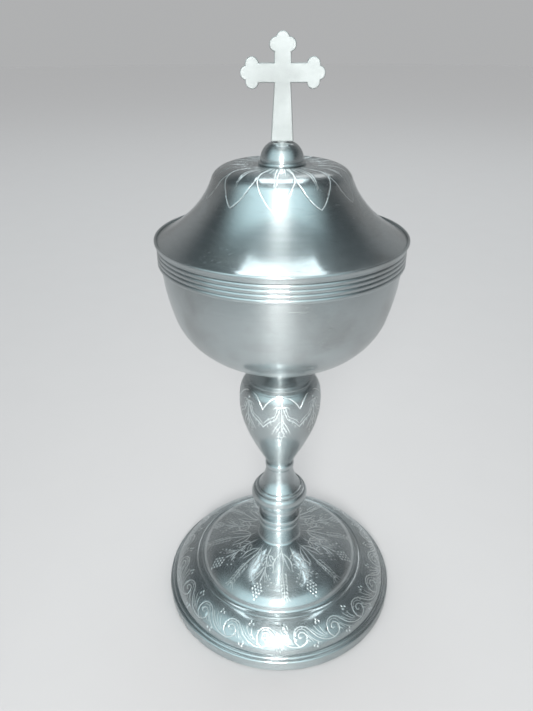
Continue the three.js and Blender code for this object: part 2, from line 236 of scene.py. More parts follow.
# %% Room
ROOM_LIGHT = 0.78            # how strongly the room lights the paper
BACKDROP = (0.432, 0.437, 0.441, 1)


def room():
    world = bpy.data.worlds.new("room")
    world.use_nodes = True
    tree = world.node_tree
    direction = add(tree, "TexCoord").outputs["Generated"]
    _, y, z = add(tree, "SeparateXYZ", vector=direction).outputs
    shown = blend(tree, window_glow(tree, direction, z), room_gradient(tree, y, z), GLOW)
    path = add(tree, "LightPath").outputs
    seen = tree.nodes["Background"]
    feed(tree, seen.inputs["Color"], blend(tree, path["Is Camera Ray"], shown, BACKDROP))
    even = add(tree, "Background", color=(ROOM_LIGHT, ROOM_LIGHT, ROOM_LIGHT, 1))
    either = number(tree, "MAXIMUM", path["Is Camera Ray"], path["Is Glossy Ray"])
    mix = add(tree, "MixShader", fac=number(tree, "MAXIMUM", either, path["Is Transmission Ray"]))
    feed(tree, mix.inputs[1], even.outputs[0])
    feed(tree, mix.inputs[2], seen.outputs[0])
    feed(tree, tree.nodes["World Output"].inputs["Surface"], mix.outputs[0])
    return world


scene.world = room()
print("the room has", len(scene.world.node_tree.nodes), "nodes")

# %% [markdown]
# The lamp that draws the picture stands just over and behind the camera. It is small and strong, as a
# flash in a soft box is, and the fine rings in the metal pull its mirror image out into the bright
# upright streak down the middle of every piece. A grid in front of it keeps its light off the floor.
# The long box overhead lies in every surface that looks up: the lid's foot, the shoulder of the dome,
# the reeds. A weak box at the back is for other views.

# %% Lamps
CUP_MIDDLE = (0, 0, 0.15)    # in metres, as are the lamps' places and sizes
FLASH = (1.0, 0.99, 0.97)
DAYLIGHT = (0.86, 0.97, 1.0)


def soft_box(name, place, aim, width, length, watts, colour=(1, 1, 1), spread=180):
    data = bpy.data.lights.new(name, "AREA")
    data.shape = "RECTANGLE"
    data.size = width
    data.size_y = length
    data.energy = watts
    data.color = colour
    data.spread = math.radians(spread)
    lamp = bpy.data.objects.new(name, data)
    lamp.location = place
    lamp.rotation_euler = (Vector(aim) - Vector(place)).to_track_quat("-Z", "Y").to_euler()
    lamp.visible_camera = False
    scene.collection.objects.link(lamp)
    print(f"{name}: {watts} watts")


soft_box("flash_box", (-0.02, -0.52, 0.38), CUP_MIDDLE, 0.15, 0.17, 0.72, FLASH, spread=80)
soft_box("ceiling_box", (0.0, 0.50, 1.75), (0.0, 0.50, 0), 0.96, 0.80, 8.0, DAYLIGHT)
soft_box("back_box", (0.35, 1.1, 1.25), CUP_MIDDLE, 0.5, 0.4, 1.0)

# %% [markdown]
# Silver plate that has been rubbed for years is a mirror with a haze over it. The haze comes from fine
# rings that the polishing wheel and the cloth leave round the axis. A few are broad enough to see. Here
# and there the cloth has also dragged a hair scratch. Both are noise, the one read by radius, angle and
# height, the other stretched into hairs.

# %% Marks of the wheel and the cloth
RING_SCALE = 3600
RING_TURN = 0.0004           # how little a ring changes on its way round
HAIR_STRETCH = (14, 900, 900)
HAIR_TURNS = (0.3, 1.2, 2.3)
HAIR_FROM = 0.735            # noise above this is a scratch


def wheel_rings(tree, place):
    x, y, z = add(tree, "SeparateXYZ", vector=place).outputs
    squares = number(tree, "ADD", number(tree, "MULTIPLY", x, x), number(tree, "MULTIPLY", y, y))
    turn = number(tree, "MULTIPLY", number(tree, "ARCTAN2", y, x), RING_TURN)
    ring = add(tree, "CombineXYZ", x=number(tree, "SQRT", squares), y=turn, z=z).outputs[0]
    return noise(tree, ring, RING_SCALE, 3, 0.6)


def stretched(tree, place, turn, scale):
    """The same place, turned and scaled, so that a pattern on it is drawn out one way."""
    return add(tree, "Mapping", vector=place, rotation=turn, scale=scale).outputs[0]


def hair_scratches(tree, place):
    """1 on a few fine hairs that lie in three directions, and 0 between them."""
    marked = 0
    for turn in HAIR_TURNS:
        hair = noise(tree, stretched(tree, place, (turn, 0.5 * turn, turn), HAIR_STRETCH), 1, 1)
        marked = number(tree, "MAXIMUM", number(tree, "GREATER_THAN", hair, HAIR_FROM), marked)
    return marked


# %% [markdown]
# The rings are far finer than a pixel, so a dust of random points takes either the clear or the hazy
# roughness, and together they look like both at once. The rings also pull every highlight out into an
# upright streak. That is the shader's own anisotropy, with its grain laid round the axis. Soft patches of
# dull tarnish and smears of polish break up the rest. An engraved line is painted brighter: partly the
# unworn metal at the bottom of a cut, partly a painted glint, so that the lines look lit wherever they are.

# %% Metal
# the colour at the bottom of a cut: partly unworn metal, partly a painted glint that makes the lines look lit
UNWORN_CUT_AND_GLINT = (0.86, 0.88, 0.88, 1)
UNWORN_AND_GLINT_SHARE = 0.9
PATCH_SCALE = 55
PATCH_EDGE = (0.44, 0.72)    # the values of the noise between which a patch grows dull
SMEAR_SCALE = 260
SMEAR_TURN = (0.4, 0.7, 0.2)
SMEAR_STRETCH = (1, 1, 3)
RING_SHOWS = 0.4             # how far the broad rings show in the haze
DUST_EDGE = 0.02
WAVE_STRENGTH = 0.35
WAVE_HEIGHT = 0.0001         # in metres
ROUGHER = {"smear": 0.10, "dull": 0.2, "groove": 0.4, "scratch": 0.12}


def metal(name, colour, dull_colour, clear, hazy, haze, streak, dullness):
    """A worn, wheel-polished metal: its clear and its hazy roughness, the share of the haze, how long
    the rings pull a highlight, and how far the metal has dulled."""
    material, tree, shader = new_material(name)
    shader.inputs["Metallic"].default_value = 1
    shader.inputs["Anisotropic"].default_value = streak
    shader.inputs["Anisotropic Rotation"].default_value = 0.25
    place = add(tree, "TexCoord").outputs["Object"]

    patches = noise(tree, place, PATCH_SCALE, 3)
    edge = {"from_min": PATCH_EDGE[0], "from_max": PATCH_EDGE[1]}
    dull = add(tree, "MapRange", value=patches, to_max=dullness, **edge).outputs[0]
    cut_depth = add(tree, "Attribute")
    cut_depth.attribute_name = "groove"
    groove = cut_depth.outputs["Fac"]
    tint = blend(tree, dull, colour, dull_colour)
    # the cuts are painted brighter, partly as unworn metal and partly as a painted glint
    tint_and_cut_glint = blend(tree, number(tree, "MULTIPLY", groove, UNWORN_AND_GLINT_SHARE), tint, UNWORN_CUT_AND_GLINT)
    feed(tree, shader.inputs["Base Color"], tint_and_cut_glint)

    rings = number(tree, "SUBTRACT", wheel_rings(tree, place), 0.5)
    dust = add(tree, "TexWhiteNoise", vector=place).outputs["Value"]
    share = number(tree, "MULTIPLY_ADD", rings, RING_SHOWS * streak, dust)
    edge = {"from_min": 1 - DUST_EDGE - haze, "from_max": 1 + DUST_EDGE - haze}
    rough = add(tree, "MapRange", value=share, to_min=clear, to_max=hazy, **edge).outputs[0]
    smears = noise(tree, stretched(tree, place, SMEAR_TURN, SMEAR_STRETCH), SMEAR_SCALE, 4, 0.6)
    for mark, more in ((smears, ROUGHER["smear"]), (dull, ROUGHER["dull"]), (groove, ROUGHER["groove"]),
                       (hair_scratches(tree, place), ROUGHER["scratch"] * streak)):
        rough = number(tree, "MULTIPLY_ADD", mark, more, rough)
    feed(tree, shader.inputs["Roughness"], rough)

    waves = add(tree, "Bump", strength=WAVE_STRENGTH, distance=WAVE_HEIGHT, height=patches)
    feed(tree, shader.inputs["Normal"], waves.outputs[0])
    around = add(tree, "VectorMath")
    around.operation = "CROSS_PRODUCT"
    feed(tree, around.inputs[0], place)
    feed(tree, around.inputs[1], (0, 0, 1))
    feed(tree, shader.inputs["Tangent"], around.outputs[0])
    return material


# %% [markdown]
# The stem and the foot are polished hardest. The bowl and the lid have a softer, more even sheen. The
# cross is cast and only brushed, so it has no rings. The bowl is gilt inside, and the fastenings that
# nobody sees are bare brass.

# %% Finishes
SILVER = (0.50, 0.54, 0.55, 1)
TARNISH = (0.32, 0.32, 0.31, 1)
CAST_SILVER = (0.48, 0.49, 0.485, 1)
GILT = (0.86, 0.60, 0.25, 1)
DULL_GILT = (0.62, 0.42, 0.18, 1)
BRASS = (0.56, 0.40, 0.17, 1)
DULL_BRASS = (0.25, 0.17, 0.09, 1)

polished = metal("polished_silver", SILVER, TARNISH,
                 clear=0.05, hazy=0.48, haze=0.48, streak=0.84, dullness=0.4)
satin = metal("satin_silver", SILVER, TARNISH,
              clear=0.08, hazy=0.42, haze=0.38, streak=0.86, dullness=0.5)
cast = metal("cast_silver", CAST_SILVER, TARNISH,
             clear=0.58, hazy=0.74, haze=0.5, streak=0.0, dullness=0.3)
gilt = metal("gilding", GILT, DULL_GILT,
             clear=0.22, hazy=0.40, haze=0.5, streak=0.8, dullness=0.5)
brass = metal("bare_brass", BRASS, DULL_BRASS,
              clear=0.30, hazy=0.45, haze=0.5, streak=0.6, dullness=0.8)
print("finishes:", ", ".join(material.name for material in (polished, satin, cast, gilt, brass)))

# %% [markdown]
# Every turned piece is made in the same way. Its section is drawn as points of radius and height, in
# millimetres, with smooth curves and half-round reeds between them.

# %% Curves and reeds


def curve(start, end, bend, steps=16):
    """Points of a smooth bend; its two handles are shares of the way across and up."""
    handles = [(start[0] + (end[0] - start[0]) * across, start[1] + (end[1] - start[1]) * up)
               for across, up in bend]
    ends = [Vector((*point, 0)) for point in (start, *handles, end)]
    return [(point.x, point.y) for point in interpolate_bezier(*ends, steps + 1)]


def reeds(start, end, count, height, steps=10):
    """Half-round reeds side by side on the line from start to end, standing out to its right."""
    start, end = Vector(start), Vector(end)
    out = Vector((end.y - start.y, start.x - end.x)).normalized()
    points = []
    for reed in range(count):
        for step in range(steps + 1):
            angle = math.pi * step / steps
            along = (reed + (1 - math.cos(angle)) / 2) / count
            points.append(tuple(start.lerp(end, along) + out * height * math.sin(angle)))
        if reed < count - 1:
            points.pop()
    return points


# %% [markdown]
# The points become a chain of edges, and one spin carries the chain round the axis and closes on
# itself. Where the chain touches the axis, the doubled points are merged, so that no pole stays open.
# Each point keeps its number in the chain, which the engraving needs later.

# %% Turning
STEPS = 256
SAME_PLACE = 1e-8            # in metres


def spun(outline, steps=STEPS, closed=True):
    bm = bmesh.new()
    along = bm.verts.layers.float.new("along")
    verts = []
    for i, (radius, height) in enumerate(outline):
        vert = bm.verts.new((radius * MM, 0, height * MM))
        vert[along] = i
        verts.append(vert)
    chain = verts + verts[:1] if closed else verts
    edges = [bm.edges.new(pair) for pair in zip(chain, chain[1:])]
    bmesh.ops.spin(bm, geom=verts + edges, cent=(0, 0, 0), axis=(0, 0, 1), angle=2 * math.pi,
                   steps=steps, use_merge=True)
    bmesh.ops.remove_doubles(bm, verts=bm.verts, dist=SAME_PLACE)
    bmesh.ops.recalc_face_normals(bm, faces=bm.faces)
    return bm


# %% [markdown]
# A finished mesh is shaded smooth up to its sharp edges and gets its metals. Then it rides on its body
# and takes the place of the frame's plain piece, whose heights and radius it was drawn to.

# %% From a mesh to a piece
SEAM = 0.05                  # what is left to see of a soldered seam
SEAT = 0.25                  # each piece reaches down this far, to sit on the one below


def finish_piece(bm, name, body, metals, sharp=35, node=None, skins=()):
    mesh = bpy.data.meshes.new(name)
    bm.to_mesh(mesh)
    bm.free()
    mesh.shade_smooth()
    mesh.set_sharp_from_angle(angle=math.radians(sharp))
    if skins:
        shade_as_turned(mesh, skins)
    for material in metals:
        mesh.materials.append(material)
    piece = bpy.data.objects.new(name, mesh)
    scene.collection.objects.link(piece)
    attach(piece, body)
    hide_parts(node or name.removesuffix("_turned"))
    triangles = sum(len(face.vertices) - 2 for face in mesh.polygons)
    print(f"{name}: {triangles} triangles")
    return piece


def level(node):
    """The lowest and highest height of a frame piece, and its radius, in millimetres."""
    low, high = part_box(node)
    return low.z / MM, high.z / MM, high.x / MM


# %% [markdown]
# The engraver cuts thin bright lines with a graver, a small pointed chisel, and sets dots with a
# punch. A picture of such lines would do from far away, but real cuts catch the light on one side and
# lose it on the other, so here they are cut into the mesh. A motif is a list of strokes on a flat
# drawing: x runs round the piece and y runs up along its outline, both in millimetres. The drawing is
# then laid on the piece as many times as the engraver repeated it.

# %% Strokes
CUT_SPACING = 0.08           # between the points that a stroke is made of
BLUNT = 0.02                 # how much of its width a stroke keeps at a thin end


def smooth(*points, steps=10):
    """A smooth line through a few points."""
    knots = [Vector(point) for point in points]
    knots = [2 * knots[0] - knots[1], *knots, 2 * knots[-1] - knots[-2]]
    line = []
    for before, start, end, after in zip(knots, knots[1:], knots[2:], knots[3:]):
        first, second = start + (end - before) / 6, end - (after - start) / 6
        line += interpolate_bezier(start, first, second, end, steps + 1)[:-1]
    return [tuple(point.xy) for point in line] + [tuple(knots[-2].xy)]


def cut(points, width, tips=(0, 0)):
    """One stroke: its points, half its width, and the shares of its length over which each end thins."""
    return np.array(points, float), width, tips


def dot(x, y, width):
    return cut([(x, y)], width)


def mirrored(strokes):
    return strokes + [(points * (-1, 1), width, tips) for points, width, tips in strokes]


# %% [markdown]
# To lay a flat drawing on a turned piece, the piece's outline is kept as a fine table of its length,
# radius and height. The table also puts every new point of the mesh back on the true curve.

# %% The skin that carries the strokes
SKIN_STEPS = 24              # rows of the table for each step of the outline


def skin(outline, first, last, from_last=False):
    """The stretch of an outline between two of its points, with its length from one of its ends."""
    knots = np.array([outline[min(max(i, 0), len(outline) - 1)] for i in range(first - 1, last + 2)])
    places = np.linspace(first, last, SKIN_STEPS * (last - first) + 1)
    index = np.minimum((places - first).astype(int), last - first - 1)
    share = (places - first - index)[:, None]
    before, start, end, after = (knots[index + i] for i in range(4))
    points = 0.5 * (2 * start + (end - before) * share
                    + (2 * before - 5 * start + 4 * end - after) * share ** 2
                    + (3 * start - before - 3 * end + after) * share ** 3)
    length = np.concatenate(([0], np.cumsum(np.linalg.norm(np.diff(points, axis=0), axis=1))))
    if from_last:
        length = length[-1] - length
    return {"place": places, "radius": points[:, 0], "height": points[:, 1], "length": length}


def length_at(table, name, value):
    """The length along a skin at which its radius or its height has a value."""
    return table["length"][np.abs(table[name] - value).argmin()]


def laid(table, motif, angles, drawn_at=None):
    """Points in space and half widths of a motif that is repeated at some angles round the axis. Its
    width is true at every height, or fans out from the one radius at which it was drawn."""
    order = np.argsort(table["length"])
    length, radius, height = (table[name][order] for name in ("length", "radius", "height"))
    places, widths = [], []
    for points, width, (thin_start, thin_end) in motif:
        steps = np.linalg.norm(np.diff(points, axis=0), axis=1)
        run = np.concatenate(([0], np.cumsum(steps)))
        fine = np.linspace(0, run[-1], max(int(run[-1] / CUT_SPACING), 0) + 1)
        across, up = (np.interp(fine, run, points[:, i]) for i in range(2))
        share = fine / max(run[-1], CUT_SPACING)
        from_start = (share + BLUNT) / (thin_start + BLUNT)
        from_end = (1 + BLUNT - share) / (thin_end + BLUNT)
        swell = np.minimum(1, np.minimum(from_start, from_end))
        at_radius, at_height = np.interp(up, length, radius), np.interp(up, length, height)
        for angle in angles:
            turn = angle + across / (drawn_at or at_radius)
            places.append(np.stack([at_radius * np.sin(turn), -at_radius * np.cos(turn), at_height], axis=1))
            widths.append(width * swell)
    return np.concatenate(places), np.concatenate(widths)


def evenly(count, first=0.0):
    """Angles in radians, from straight in front and counted to the right."""
    return [math.radians(first) + 2 * math.pi * i / count for i in range(count)]


# %% [markdown]
# The mesh is too coarse for a cut that is half a millimetre wide, and fine everywhere it would be
# millions of faces. So only the edges close to a stroke are subdivided, in rounds that each halve
# them. The new points go back on the true curve, and those inside a stroke are pushed in to make a
# small round-bottomed channel, whose sides face every way and so always catch some lamp.
# How deep each point lies is kept as an attribute: the metal makes the cuts rougher and paints them brighter,
# partly as unworn metal and partly as a painted glint.

# %% Cutting
CUT_DEPTH = 0.5              # as a share of the stroke's half width
COARSEST = 8                 # the longest edges left by the first round, in finest lengths
CUT_REACH = 0.4              # how far beside a stroke edges are divided, as a share of their length
CUT_MARGIN = 0.04            # and this much more, in millimetres


def engrave(bm, table, places, widths, finest):
    tree = KDTree(len(places))
    for i, place in enumerate(places):
        tree.insert(Vector(place) * MM, i)
    tree.balance()
    layer = bm.verts.layers.float["along"]
    depth_layer = bm.verts.layers.float.get("groove") or bm.verts.layers.float.new("groove")
    first, last = table["place"][0], table["place"][-1]
    size = COARSEST * finest
    while size > finest * 0.9:
        chosen = []
        for edge in bm.edges:
            start, end = edge.verts
            if not (first <= start[layer] <= last and first <= end[layer] <= last):
                continue
            if edge.calc_length() < size * MM:
                continue
            _, i, distance = tree.find((start.co + end.co) / 2)
            if distance < (widths[i] + CUT_REACH * size + CUT_MARGIN) * MM:
                chosen.append(edge)
        bmesh.ops.subdivide_edges(bm, edges=chosen, cuts=1, use_grid_fill=True)
        on_skin = [vert for vert in bm.verts if first <= vert[layer] <= last]
        along = np.array([vert[layer] for vert in on_skin])
        radii, heights = (np.interp(along, table["place"], table[name]) for name in ("radius", "height"))
        for vert, radius, height in zip(on_skin, radii, heights):
            flat = vert.co.xy.normalized() * radius * MM
            vert.co = (flat.x, flat.y, height * MM)
        size /= 2
    bm.normal_update()
    moves = []
    for vert in on_skin:
        _, i, distance = tree.find(vert.co)
        share = 1 - (distance / (widths[i] * MM)) ** 2
        if share > 0:
            vert[depth_layer] = share
            moves.append((vert, vert.normal * widths[i] * CUT_DEPTH * share * MM))
    for vert, move in moves:
        vert.co -= move
    print("cut", round(len(places) * CUT_SPACING), "mm of line with", len(moves), "points")


# %% [markdown]
# Polished metal shows the smallest fault in its shading. A cut tilts the normals of the large faces
# beside it, and that would look like a dent. So every corner of the mesh that isn't in a cut gets the
# normal of the true turned curve, and only the cuts keep their own.

# %% Shading beside the cuts


def shade_as_turned(mesh, skins):
    along, groove = (np.empty(len(mesh.vertices), np.float32) for _ in range(2))
    mesh.attributes["along"].data.foreach_get("value", along)
    mesh.attributes["groove"].data.foreach_get("value", groove)
    places = np.empty(len(mesh.vertices) * 3, np.float32)
    mesh.vertices.foreach_get("co", places)
    places = places.reshape(-1, 3)
    corners = np.empty(len(mesh.loops), np.int32)
    mesh.loops.foreach_get("vertex_index", corners)
    normals = np.empty(len(mesh.loops) * 3, np.float32)
    mesh.corner_normals.foreach_get("vector", normals)
    normals = normals.reshape(-1, 3)
    for table in skins:
        first, last = table["place"][0], table["place"][-1]
        untouched = (along > first + 0.5) & (along < last - 0.5) & (groove == 0)
        slope = np.interp(along, table["place"], np.gradient(table["radius"], table["place"]))
        rise = np.interp(along, table["place"], np.gradient(table["height"], table["place"]))
        around = places[:, :2] / np.maximum(np.linalg.norm(places[:, :2], axis=1, keepdims=True), 1e-9)
        true = np.column_stack((around * rise[:, None], -slope))
        true /= np.maximum(np.linalg.norm(true, axis=1, keepdims=True), 1e-9)
        chosen = untouched[corners]
        side = np.sign((true[corners] * normals).sum(axis=1))
        normals[chosen] = (true[corners] * side[:, None])[chosen]
    mesh.normals_split_custom_set(normals)
    print("true normals on", int(sum(groove == 0)), "points,", int(sum(groove > 0)), "are in cuts")


# %% [markdown]
# The foot stands on a moulded wire band: an upright skirt with two half-round reeds on top. The wire was
# drawn through a shaped plate, so its section is the same all round.

# %% Foot rim band
RIM_WIDTH = 2.8
RIM_RISE = 2.0
RIM_REED = 0.55
SKIRT_HEIGHT = 5.0
SKIRT_TUCK = 1.1             # how far the skirt's lower edge turns in
SKIRT_EDGE = 1.5             # and how high that bend is

foot_radius = level("foot_rim_band")[2]
rim_inside = foot_radius - RIM_WIDTH
rim_outline = [(rim_inside, 0), (foot_radius - SKIRT_TUCK, 0)]
rim_outline += curve(rim_outline[-1], (foot_radius, SKIRT_EDGE), [(0.6, 0), (1, 0.5)], 6)[1:]
rim_outline += reeds((foot_radius, SKIRT_HEIGHT), (rim_inside, SKIRT_HEIGHT + RIM_RISE), 2, RIM_REED)
finish_piece(spun(rim_outline), "foot_rim_band_turned", "base", [polished])

# %% [markdown]
# The foot itself is one spun sheet: a convex band, a small bead on its corner, a flat ledge, and a
# low dome with a round shoulder. Its outline is drawn once, for the side that is seen, and a helper
# follows it back at the sheet's thickness, so that the piece has a wall and a hollow underside.

# %% A wall of even thickness
SHEET = 1.2


def walled(outer, wall, keep=1):
    """A closed section: the outer points, and back along every few of them one wall further in."""
    points = [Vector(point) for point in outer]
    inner = []
    for i, point in enumerate(points):
        before, after = points[max(i - 1, 0)], points[min(i + 1, len(points) - 1)]
        sides = [Vector((a.y - b.y, b.x - a.x)).normalized()
                 for a, b in ((before, point), (point, after)) if (b - a).length]
        left = sum(sides, Vector((0, 0))) / len(sides)
        inner.append(tuple(point + left * wall / left.length_squared))
    inside = inner[:-1:keep] + inner[-1:]
    return list(outer) + inside[::-1]


# %% [markdown]
# The small roundings that the burnisher leaves at a corner are written as steps in and up from that
# corner. The bead on the foot's corner is drawn so, and later the edges of the knop, lid and washers.

# %% Foot shell
BAND_RISE = 10.4
CORNER_BEAD = ((0.08, 0.3), (0.3, 0.45), (0.65, 0.4), (0.95, 0.2), (1.4, 0.25))
LEDGE_RADIUS = 43.1
LEDGE_WIDTH = 3.5
LEDGE_RISE = 1.9
SHOULDER_RUN = 7.6
SHOULDER_RISE = 6.2
COLLAR_FOOT = 10.9
ROD_BORE = 3.3
BAND_STEPS = 24
SHOULDER_STEPS = 12
DOME_STEPS = 28


def moulded(corner, steps):
    """Points that lie by small steps in and up from a corner."""
    return [(corner[0] - inwards, corner[1] + up) for inwards, up in steps]


foot_top = level("foot_shell")[1]
band_foot = SKIRT_HEIGHT + RIM_RISE
ledge_height = band_foot + BAND_RISE
dome_edge = (LEDGE_RADIUS - LEDGE_WIDTH, ledge_height + LEDGE_RISE)
shoulder = (dome_edge[0] - SHOULDER_RUN, dome_edge[1] + SHOULDER_RISE)
foot_outline = [(rim_inside - SEAM, band_foot - SHEET)]
foot_outline += curve((rim_inside - SEAM, band_foot), (LEDGE_RADIUS, ledge_height), [(0.04, 0.4), (0.5, 0.9)],
                      BAND_STEPS)
foot_outline += moulded((LEDGE_RADIUS, ledge_height), CORNER_BEAD)
foot_outline += curve(foot_outline[-1], dome_edge, [(0.5, 0.1), (0.9, 0.3)], 8)[1:]
dome_start = len(foot_outline) - 1
foot_outline += curve(dome_edge, shoulder, [(0.1, 0.45), (0.5, 0.8)], SHOULDER_STEPS)[1:]
foot_outline += curve(shoulder, (COLLAR_FOOT, foot_top), [(0.3, 0.36), (0.75, 0.6)], DOME_STEPS)[1:]
dome_end = len(foot_outline) - 1
foot_outline += [(ROD_BORE, foot_top)]
foot_bm = spun(walled(foot_outline, SHEET, keep=4))
print("the foot's outline has", len(foot_outline), "points")

# %% [markdown]
# Round the band runs a wave scroll. Each wave rises on its scroll's left side, turns over the top,
# runs down to the right under the next scroll and rolls up inside it. Its slope is drawn with several
# lines, as a leaf is, and both the leaf and the straight stem beside it end in three punched dots.

# %% Scroll on the foot's band
SCROLLS = 19
FIRST_SCROLL = -25.8         # degrees from the front
LINE = 0.24                  # half the width of a main line
FINE_LINE = 0.19
SCROLL_LINE = 0.3
SCROLL_RADIUS = 50           # where on the band the drawing is as wide as it is drawn

band_skin = skin(foot_outline, 1, 1 + BAND_STEPS)
scroll_pitch = 2 * math.pi * SCROLL_RADIUS / SCROLLS


def scroll_motif():
    pitch = scroll_pitch
    wave = smooth((-1.3, 3.8), (-3.0, 5.8), (-3.5, 8.5), (-2.4, 11.1), (0.4, 12.2), (3.2, 11.2), (5.4, 8.6),
                  (8.1, 5.8), (11.6, 4.0), (pitch - 1.1, 3.6), (pitch + 1.5, 4.9), (pitch + 2.5, 7.2),
                  (pitch + 1.7, 9.1), (pitch - 0.1, 9.6), (pitch - 1.3, 8.6), (pitch - 0.8, 7.3),
                  (pitch + 0.4, 7.7))
    strokes = [cut(wave, SCROLL_LINE, (0.02, 0.03))]
    for points in (((-2.2, 9.3), (-1.2, 10.8), (0.5, 11.2), (2.2, 10.4), (3.6, 8.6)),
                   ((2.4, 9.9), (4.3, 7.2), (7.0, 4.6), (9.6, 3.2)),
                   ((4.2, 11.4), (6.2, 9.2), (8.8, 6.7), (12.2, 4.9)),
                   ((6.6, 12.2), (8.0, 9.4), (10.2, 6.7), (12.7, 5.3)),
                   ((9.4, 11.5), (10.1, 8.9), (11.4, 6.7), (12.9, 5.6)),
                   ((1.9, 8.9), (3.2, 7.6), (4.5, 6.0), (5.6, 4.5)),
                   ((2.3, 6.6), (3.2, 5.6), (4.3, 4.9))):
        strokes.append(cut(smooth(*points), FINE_LINE * 1.1, (0.25, 0.25)))
    for x, y in ((8.7, 13.6), (8.2, 12.2), (10.1, 12.6), (5.2, 2.9), (6.7, 2.2), (7.1, 3.7)):
        strokes.append(cut([(x, y + 0.3), (x + 0.15, y - 0.3)], 0.4))
    return strokes


# %% [markdown]
# On the dome, wheat ears and bunches of grapes take turns. Both are old signs of bread and wine. Each
# grows from the collar on a thin stalk with narrow leaves.

# %% Wheat and grapes on the dome
SPRAYS = 8
FIRST_WHEAT = 5.0            # degrees from the front

dome_skin = skin(foot_outline, dome_start, dome_end, from_last=True)


def wheat_motif():
    strokes = [cut(smooth((0, 1.5), (0.5, 8), (-0.3, 15), (0, 25.5)), LINE, (0.1, 0.1))]
    sides = []
    for i in range(6):
        y = 15 + 1.8 * i
        sides.append(cut(smooth((0.2, y), (1.2, y + 0.8), (1.6, y + 2.3)), LINE * 1.3, (0.5, 0.6)))
    for spread in (0.9, 2.2):
        beard = smooth((spread * 0.4, 26), (spread * 0.8, 27.6), (spread * 1.4, 29.4))
        sides.append(cut(beard, FINE_LINE, (0, 0.6)))
    leaf_foot, leaf_tip = (0.2, 4.0), (4.3, 15.5)
    sides.append(cut(smooth(leaf_foot, (2.9, 6.8), (4.5, 11.0), leaf_tip), LINE, (0.1, 0.3)))
    sides.append(cut(smooth(leaf_foot, (1.5, 8.0), (2.8, 12), leaf_tip), FINE_LINE, (0.1, 0.3)))
    return strokes + mirrored(sides)


def grape_motif():
    strokes = [cut(smooth((0, 1.5), (-0.6, 7), (0.5, 13), (0, 21.5)), LINE, (0.1, 0.1))]
    for row, count in enumerate((2, 3, 4, 3, 2, 1)):
        for i in range(count):
            x, y = (i - (count - 1) / 2) * 1.55, 21.7 + 1.5 * row
            strokes.append(cut([(x, y - 0.2), (x + 0.1, y + 0.2)], 0.45))
    sides = [cut(smooth((0.2, 12.5), (1.4, 15.5), (3.3, 18.5), (5.0, 20.5)), LINE, (0.1, 0.5)),
             cut(smooth((0.4, 14.5), (1.3, 17.5), (2.2, 19.4), (3.3, 21.2)), FINE_LINE, (0.1, 0.5))]
    for x, y in ((3.0, 16.6), (4.4, 18.2), (5.7, 20.0), (4.6, 21.6), (2.8, 12.6), (4.6, 14.6)):
        sides.append(dot(x, y, 0.4))
    leaf = smooth((0.2, 6.0), (1.9, 6.1), (2.4, 7.6), (3.8, 8.0), (3.2, 9.6), (3.6, 11.2), (2.2, 10.9),
                  (1.2, 12.0), (0.9, 10.2), (0.4, 9.2), steps=5)
    sides.append(cut(leaf, FINE_LINE))
    sides.append(cut([(0.3, 6.6), (2.9, 10.2)], FINE_LINE, (0.1, 0.4)))
    return strokes + mirrored(sides)


# %% [markdown]
# The three ornaments are laid on the foot and cut. Wheat and grapes share one pass, because each pass
# makes the mesh finer round everything that it cuts.

# %% Engrave the foot


def joined(*cuts):
    return np.concatenate([places for places, _ in cuts]), np.concatenate([widths for _, widths in cuts])


scrolls = laid(band_skin, scroll_motif(), evenly(SCROLLS, FIRST_SCROLL), SCROLL_RADIUS)
wheat = laid(dome_skin, wheat_motif(), evenly(SPRAYS, FIRST_WHEAT))
grapes = laid(dome_skin, grape_motif(), evenly(SPRAYS, FIRST_WHEAT + 180 / SPRAYS))
engrave(foot_bm, band_skin, *scrolls, finest=0.24)
engrave(foot_bm, dome_skin, *joined(wheat, grapes), finest=0.24)
finish_piece(foot_bm, "foot_shell_turned", "base", [polished], skins=[band_skin, dome_skin])

# %% [markdown]
# The collar between the foot and the lower knop was turned from one rod: a flared foot, two soft beads,
# a neck and a ring.

# %% Foot collar
COLLAR_RADIUS = 10.0
COLLAR_NECK = 8.9
COLLAR_RING = 9.4
COLLAR_REED = 0.3
FLARE_RISE = 1.9
FLARE_RUNOUT = 0.8           # how far the flare runs on up the drum
DRUM_RISE = 5.0
BEADS_RISE = 7.3
BEAD_HEIGHT = 0.6
NECK_RISE = 2.5
NECK_CORNERS = (0.3, 0.5)    # from the beads up to the neck, and from the neck up to the ring
RING_RISE = 1.7

collar_base, collar_top, _ = level("foot_collar")
flare_top = collar_base + FLARE_RISE
bead_foot = flare_top + DRUM_RISE
bead_top = bead_foot + BEADS_RISE
ring_foot = bead_top + NECK_RISE
ring_root = COLLAR_RING - COLLAR_REED
flare_foot = (COLLAR_FOOT, collar_base - SEAT)
collar_outline = [(ROD_BORE, collar_base - SEAT), flare_foot]
collar_outline += curve(flare_foot, (COLLAR_RADIUS, flare_top + FLARE_RUNOUT), [(0.6, 0.1), (1, 0.5)], 8)[1:]
collar_outline += reeds((COLLAR_RADIUS, bead_foot), (COLLAR_RADIUS, bead_top), 2, BEAD_HEIGHT)
collar_outline += [(COLLAR_NECK, bead_top + NECK_CORNERS[0]), (COLLAR_NECK, ring_foot - NECK_CORNERS[1])]
collar_outline += reeds((ring_root, ring_foot), (ring_root, ring_foot + RING_RISE), 1, COLLAR_REED)
collar_outline += [(COLLAR_NECK, collar_top), (ROD_BORE, collar_top)]
finish_piece(spun(collar_outline, steps=160), "foot_collar_turned", "base", [polished])

# %% [markdown]
# The lower knop has a round belly, two turned steps where its shoulder draws in, and a long hollow
# neck. The edge of each step is rounded a little, as if by years of rubbing.

